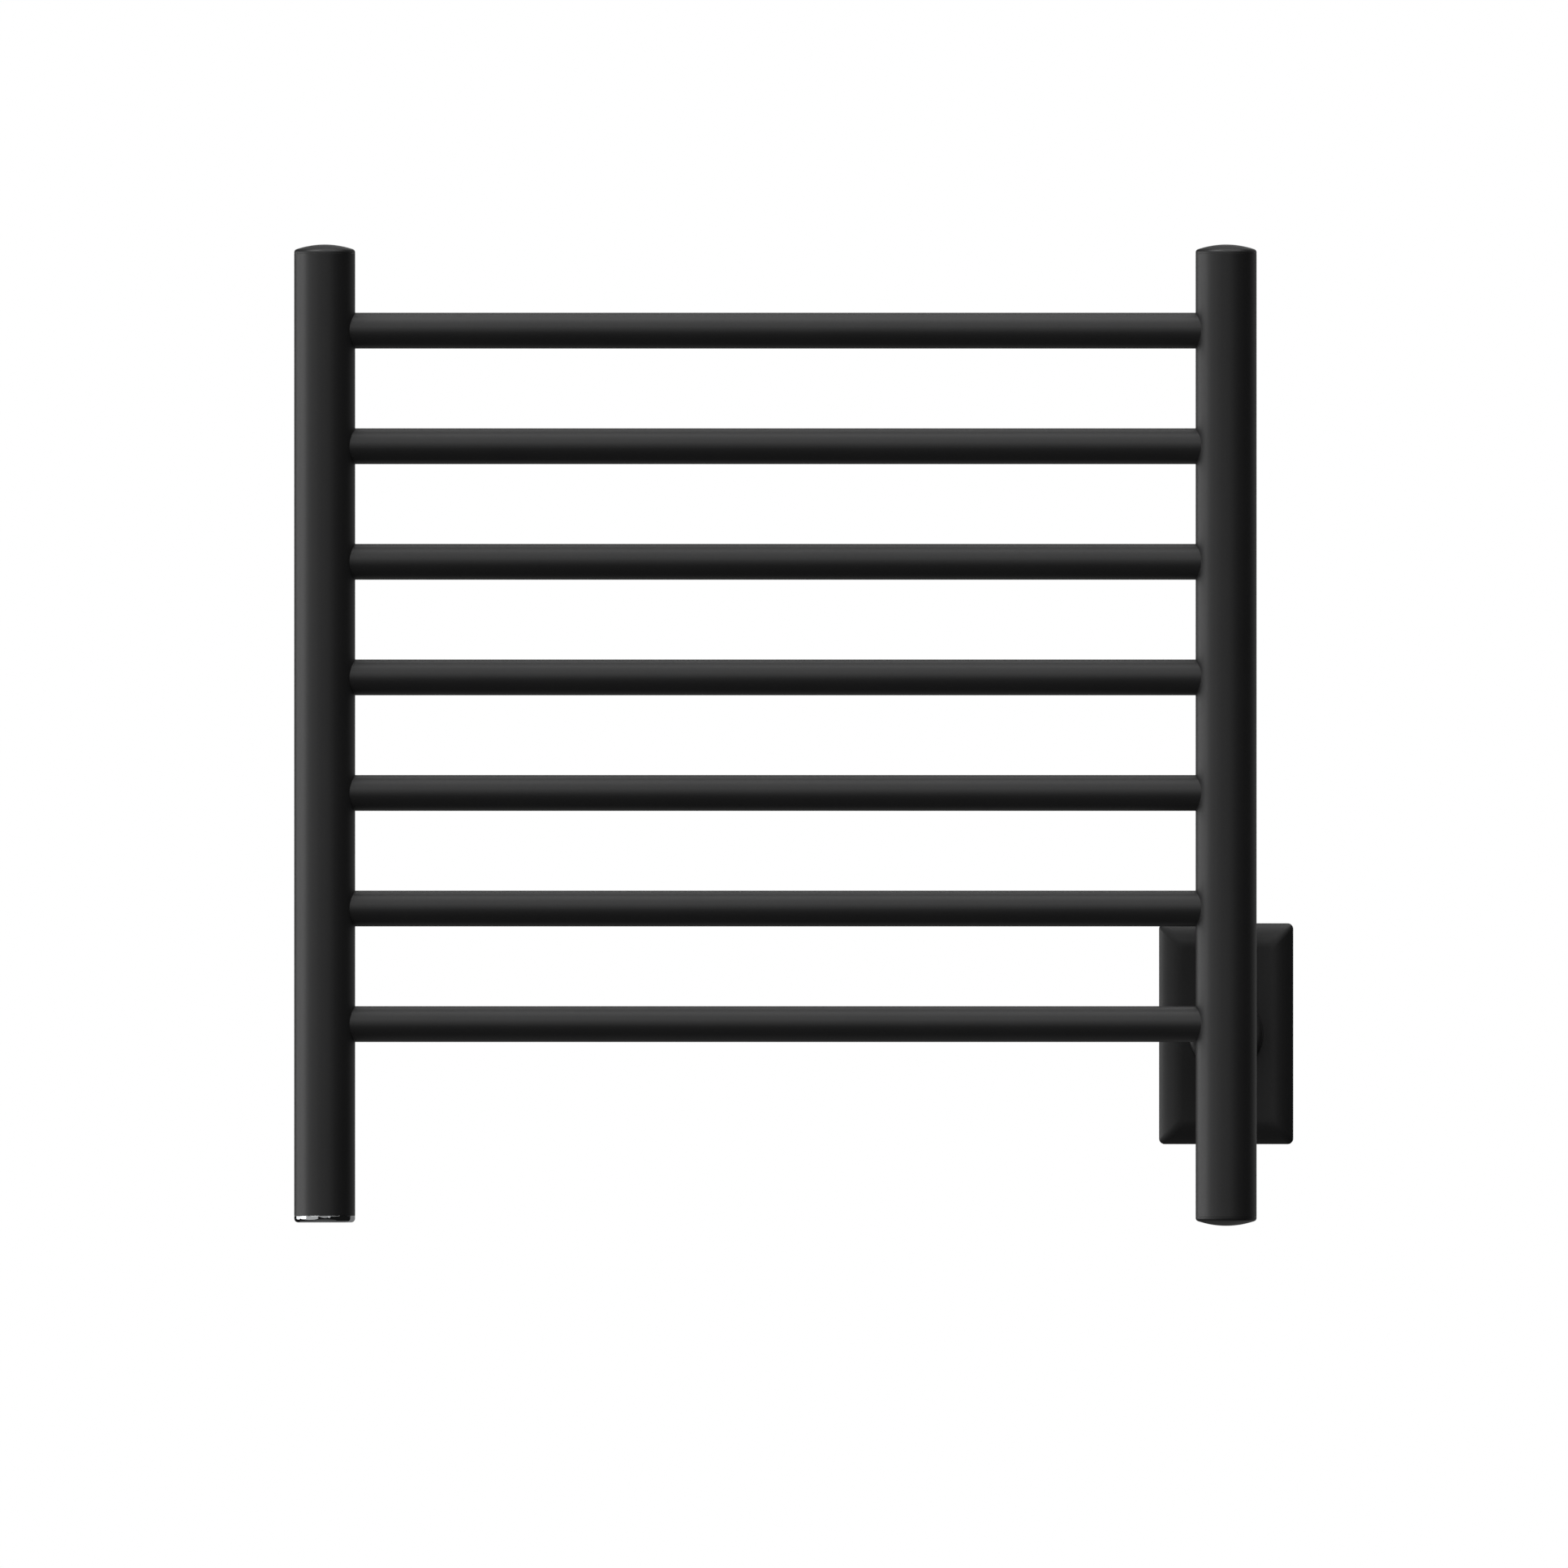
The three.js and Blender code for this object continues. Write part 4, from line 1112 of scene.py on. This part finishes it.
def add_plate_fixings():
    add_strap()
    add_ground_screw()
    low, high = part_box("plate_screw_top")
    set_screw("plate_screw_top", low.z, high.z)
    low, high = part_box("plate_screw_bottom")
    set_screw("plate_screw_bottom", high.z, low.z)


# ---- The studio ----

FLOOR_DROP = 1.1  # the rack hangs about this high above the floor
FLOOR_SIZE = 14.0
VIEW_WIDTH = 0.84795
VIEW_OFFSET = Vector((-0.00525, -2.0, -0.0264))  # from the rack's middle to the camera
STRIP, NARROW, WIDE = math.radians(10), math.radians(30), math.radians(70)
SUNS = [
    # name, azimuth from the front round to the right, elevation, angular size, strength
    ("key", -60, 60, NARROW, 1.33),
    ("front_high", 0, 30, NARROW, 0.22),
    ("overhead", 0, 88, NARROW, 0.34),
    ("right_high", 60, 60, NARROW, 0.60),
    ("back_high", 180, 60, NARROW, 0.27),
    ("left", -90, 0, NARROW, 0.52),
    ("left_back", -120, 0, NARROW, 0.32),
    ("front_strip", 17, 0, STRIP, 0.014),
    ("horizon_back", 180, 10, NARROW, 0.09),
    ("left_fill", -60, 0, WIDE, 0.59),
    ("front_fill", 0, 30, WIDE, 0.39),
    ("right_back_fill", 150, 0, WIDE, 0.25),
    ("under_front", 0, -60, WIDE, 0.07),
    ("under_back", 180, -60, WIDE, 0.19),
]
ROOM_LIGHT = 0.01


def add_floor():
    low = CAD_BOX[0].z - FLOOR_DROP
    half = FLOOR_SIZE / 2
    mesh = bmesh.new()
    corners = [(-half, -half, low), (half, -half, low), (half, half, low), (-half, half, low)]
    mesh.faces.new([mesh.verts.new(corner) for corner in corners])
    floor = mesh_object("floor", mesh)
    paint = Finish("floor_paint", Specular_IOR_Level=0.2)
    paint.colour(paint.noise(0.6), (0.80, 0.80, 0.79), (0.83, 0.83, 0.82))
    paint.roughness(paint.noise(0.05), 0.75, 0.85)
    floor.data.materials.append(paint.material)
    floor.visible_diffuse = False
    floor.visible_glossy = False
    floor.visible_shadow = False


def add_sun(name, azimuth, elevation, spread, strength):
    around, up = math.radians(azimuth), math.radians(elevation)
    outward = Vector((math.sin(around) * math.cos(up), -math.cos(around) * math.cos(up), math.sin(up)))
    sun = bpy.data.objects.new(f"sun_{name}", bpy.data.lights.new(name, "SUN"))
    sun.data.angle = spread
    sun.data.energy = strength
    sun.rotation_euler = (-outward).to_track_quat("-Z", "Y").to_euler()
    bpy.context.scene.collection.objects.link(sun)


def add_world():
    """White to the camera, a dim room to everything else."""
    world = bpy.data.worlds.new("studio")
    bpy.context.scene.world = world
    world.use_nodes = True
    tree = world.node_tree
    room = tree.nodes["Background"]
    room.inputs["Color"].default_value = (1, 1, 1, 1)
    room.inputs["Strength"].default_value = ROOM_LIGHT
    white = tree.nodes.new("ShaderNodeBackground")
    white.inputs["Color"].default_value = (1, 1, 1, 1)
    path = tree.nodes.new("ShaderNodeLightPath")
    mix = tree.nodes.new("ShaderNodeMixShader")
    tree.links.new(path.outputs["Is Camera Ray"], mix.inputs["Fac"])
    tree.links.new(room.outputs["Background"], mix.inputs[1])
    tree.links.new(white.outputs["Background"], mix.inputs[2])
    tree.links.new(mix.outputs["Shader"], tree.nodes["World Output"].inputs["Surface"])


def add_camera():
    camera = bpy.data.objects.new("camera", bpy.data.cameras.new("camera"))
    camera.data.type = "ORTHO"
    camera.data.ortho_scale = VIEW_WIDTH
    camera.location = (CAD_BOX[0] + CAD_BOX[1]) / 2 + VIEW_OFFSET
    camera.rotation_euler = (math.radians(90), 0, 0)
    bpy.context.scene.collection.objects.link(camera)
    bpy.context.scene.camera = camera
    bpy.context.scene.view_settings.view_transform = "Standard"


add_camera()
add_world()
add_floor()
for sun in SUNS:
    add_sun(*sun)

add_post("left", 1)
add_post("right", -1)
for number in range(1, BAR_COUNT + 1):
    add_bar(number)
add_cap("cap_top_left", "left_post", 1)
add_cap("cap_top_right", "right_post", 1)
add_cap("cap_bottom_right", "right_post", -1)
add_switch()
add_heating_cable()
add_leads()
add_cutoff_and_splice()
add_wall_plate()
add_plate_fixings()
add_arm()
for suffix in ("top_left", "top_right", "bottom_left"):
    add_standoff(suffix)
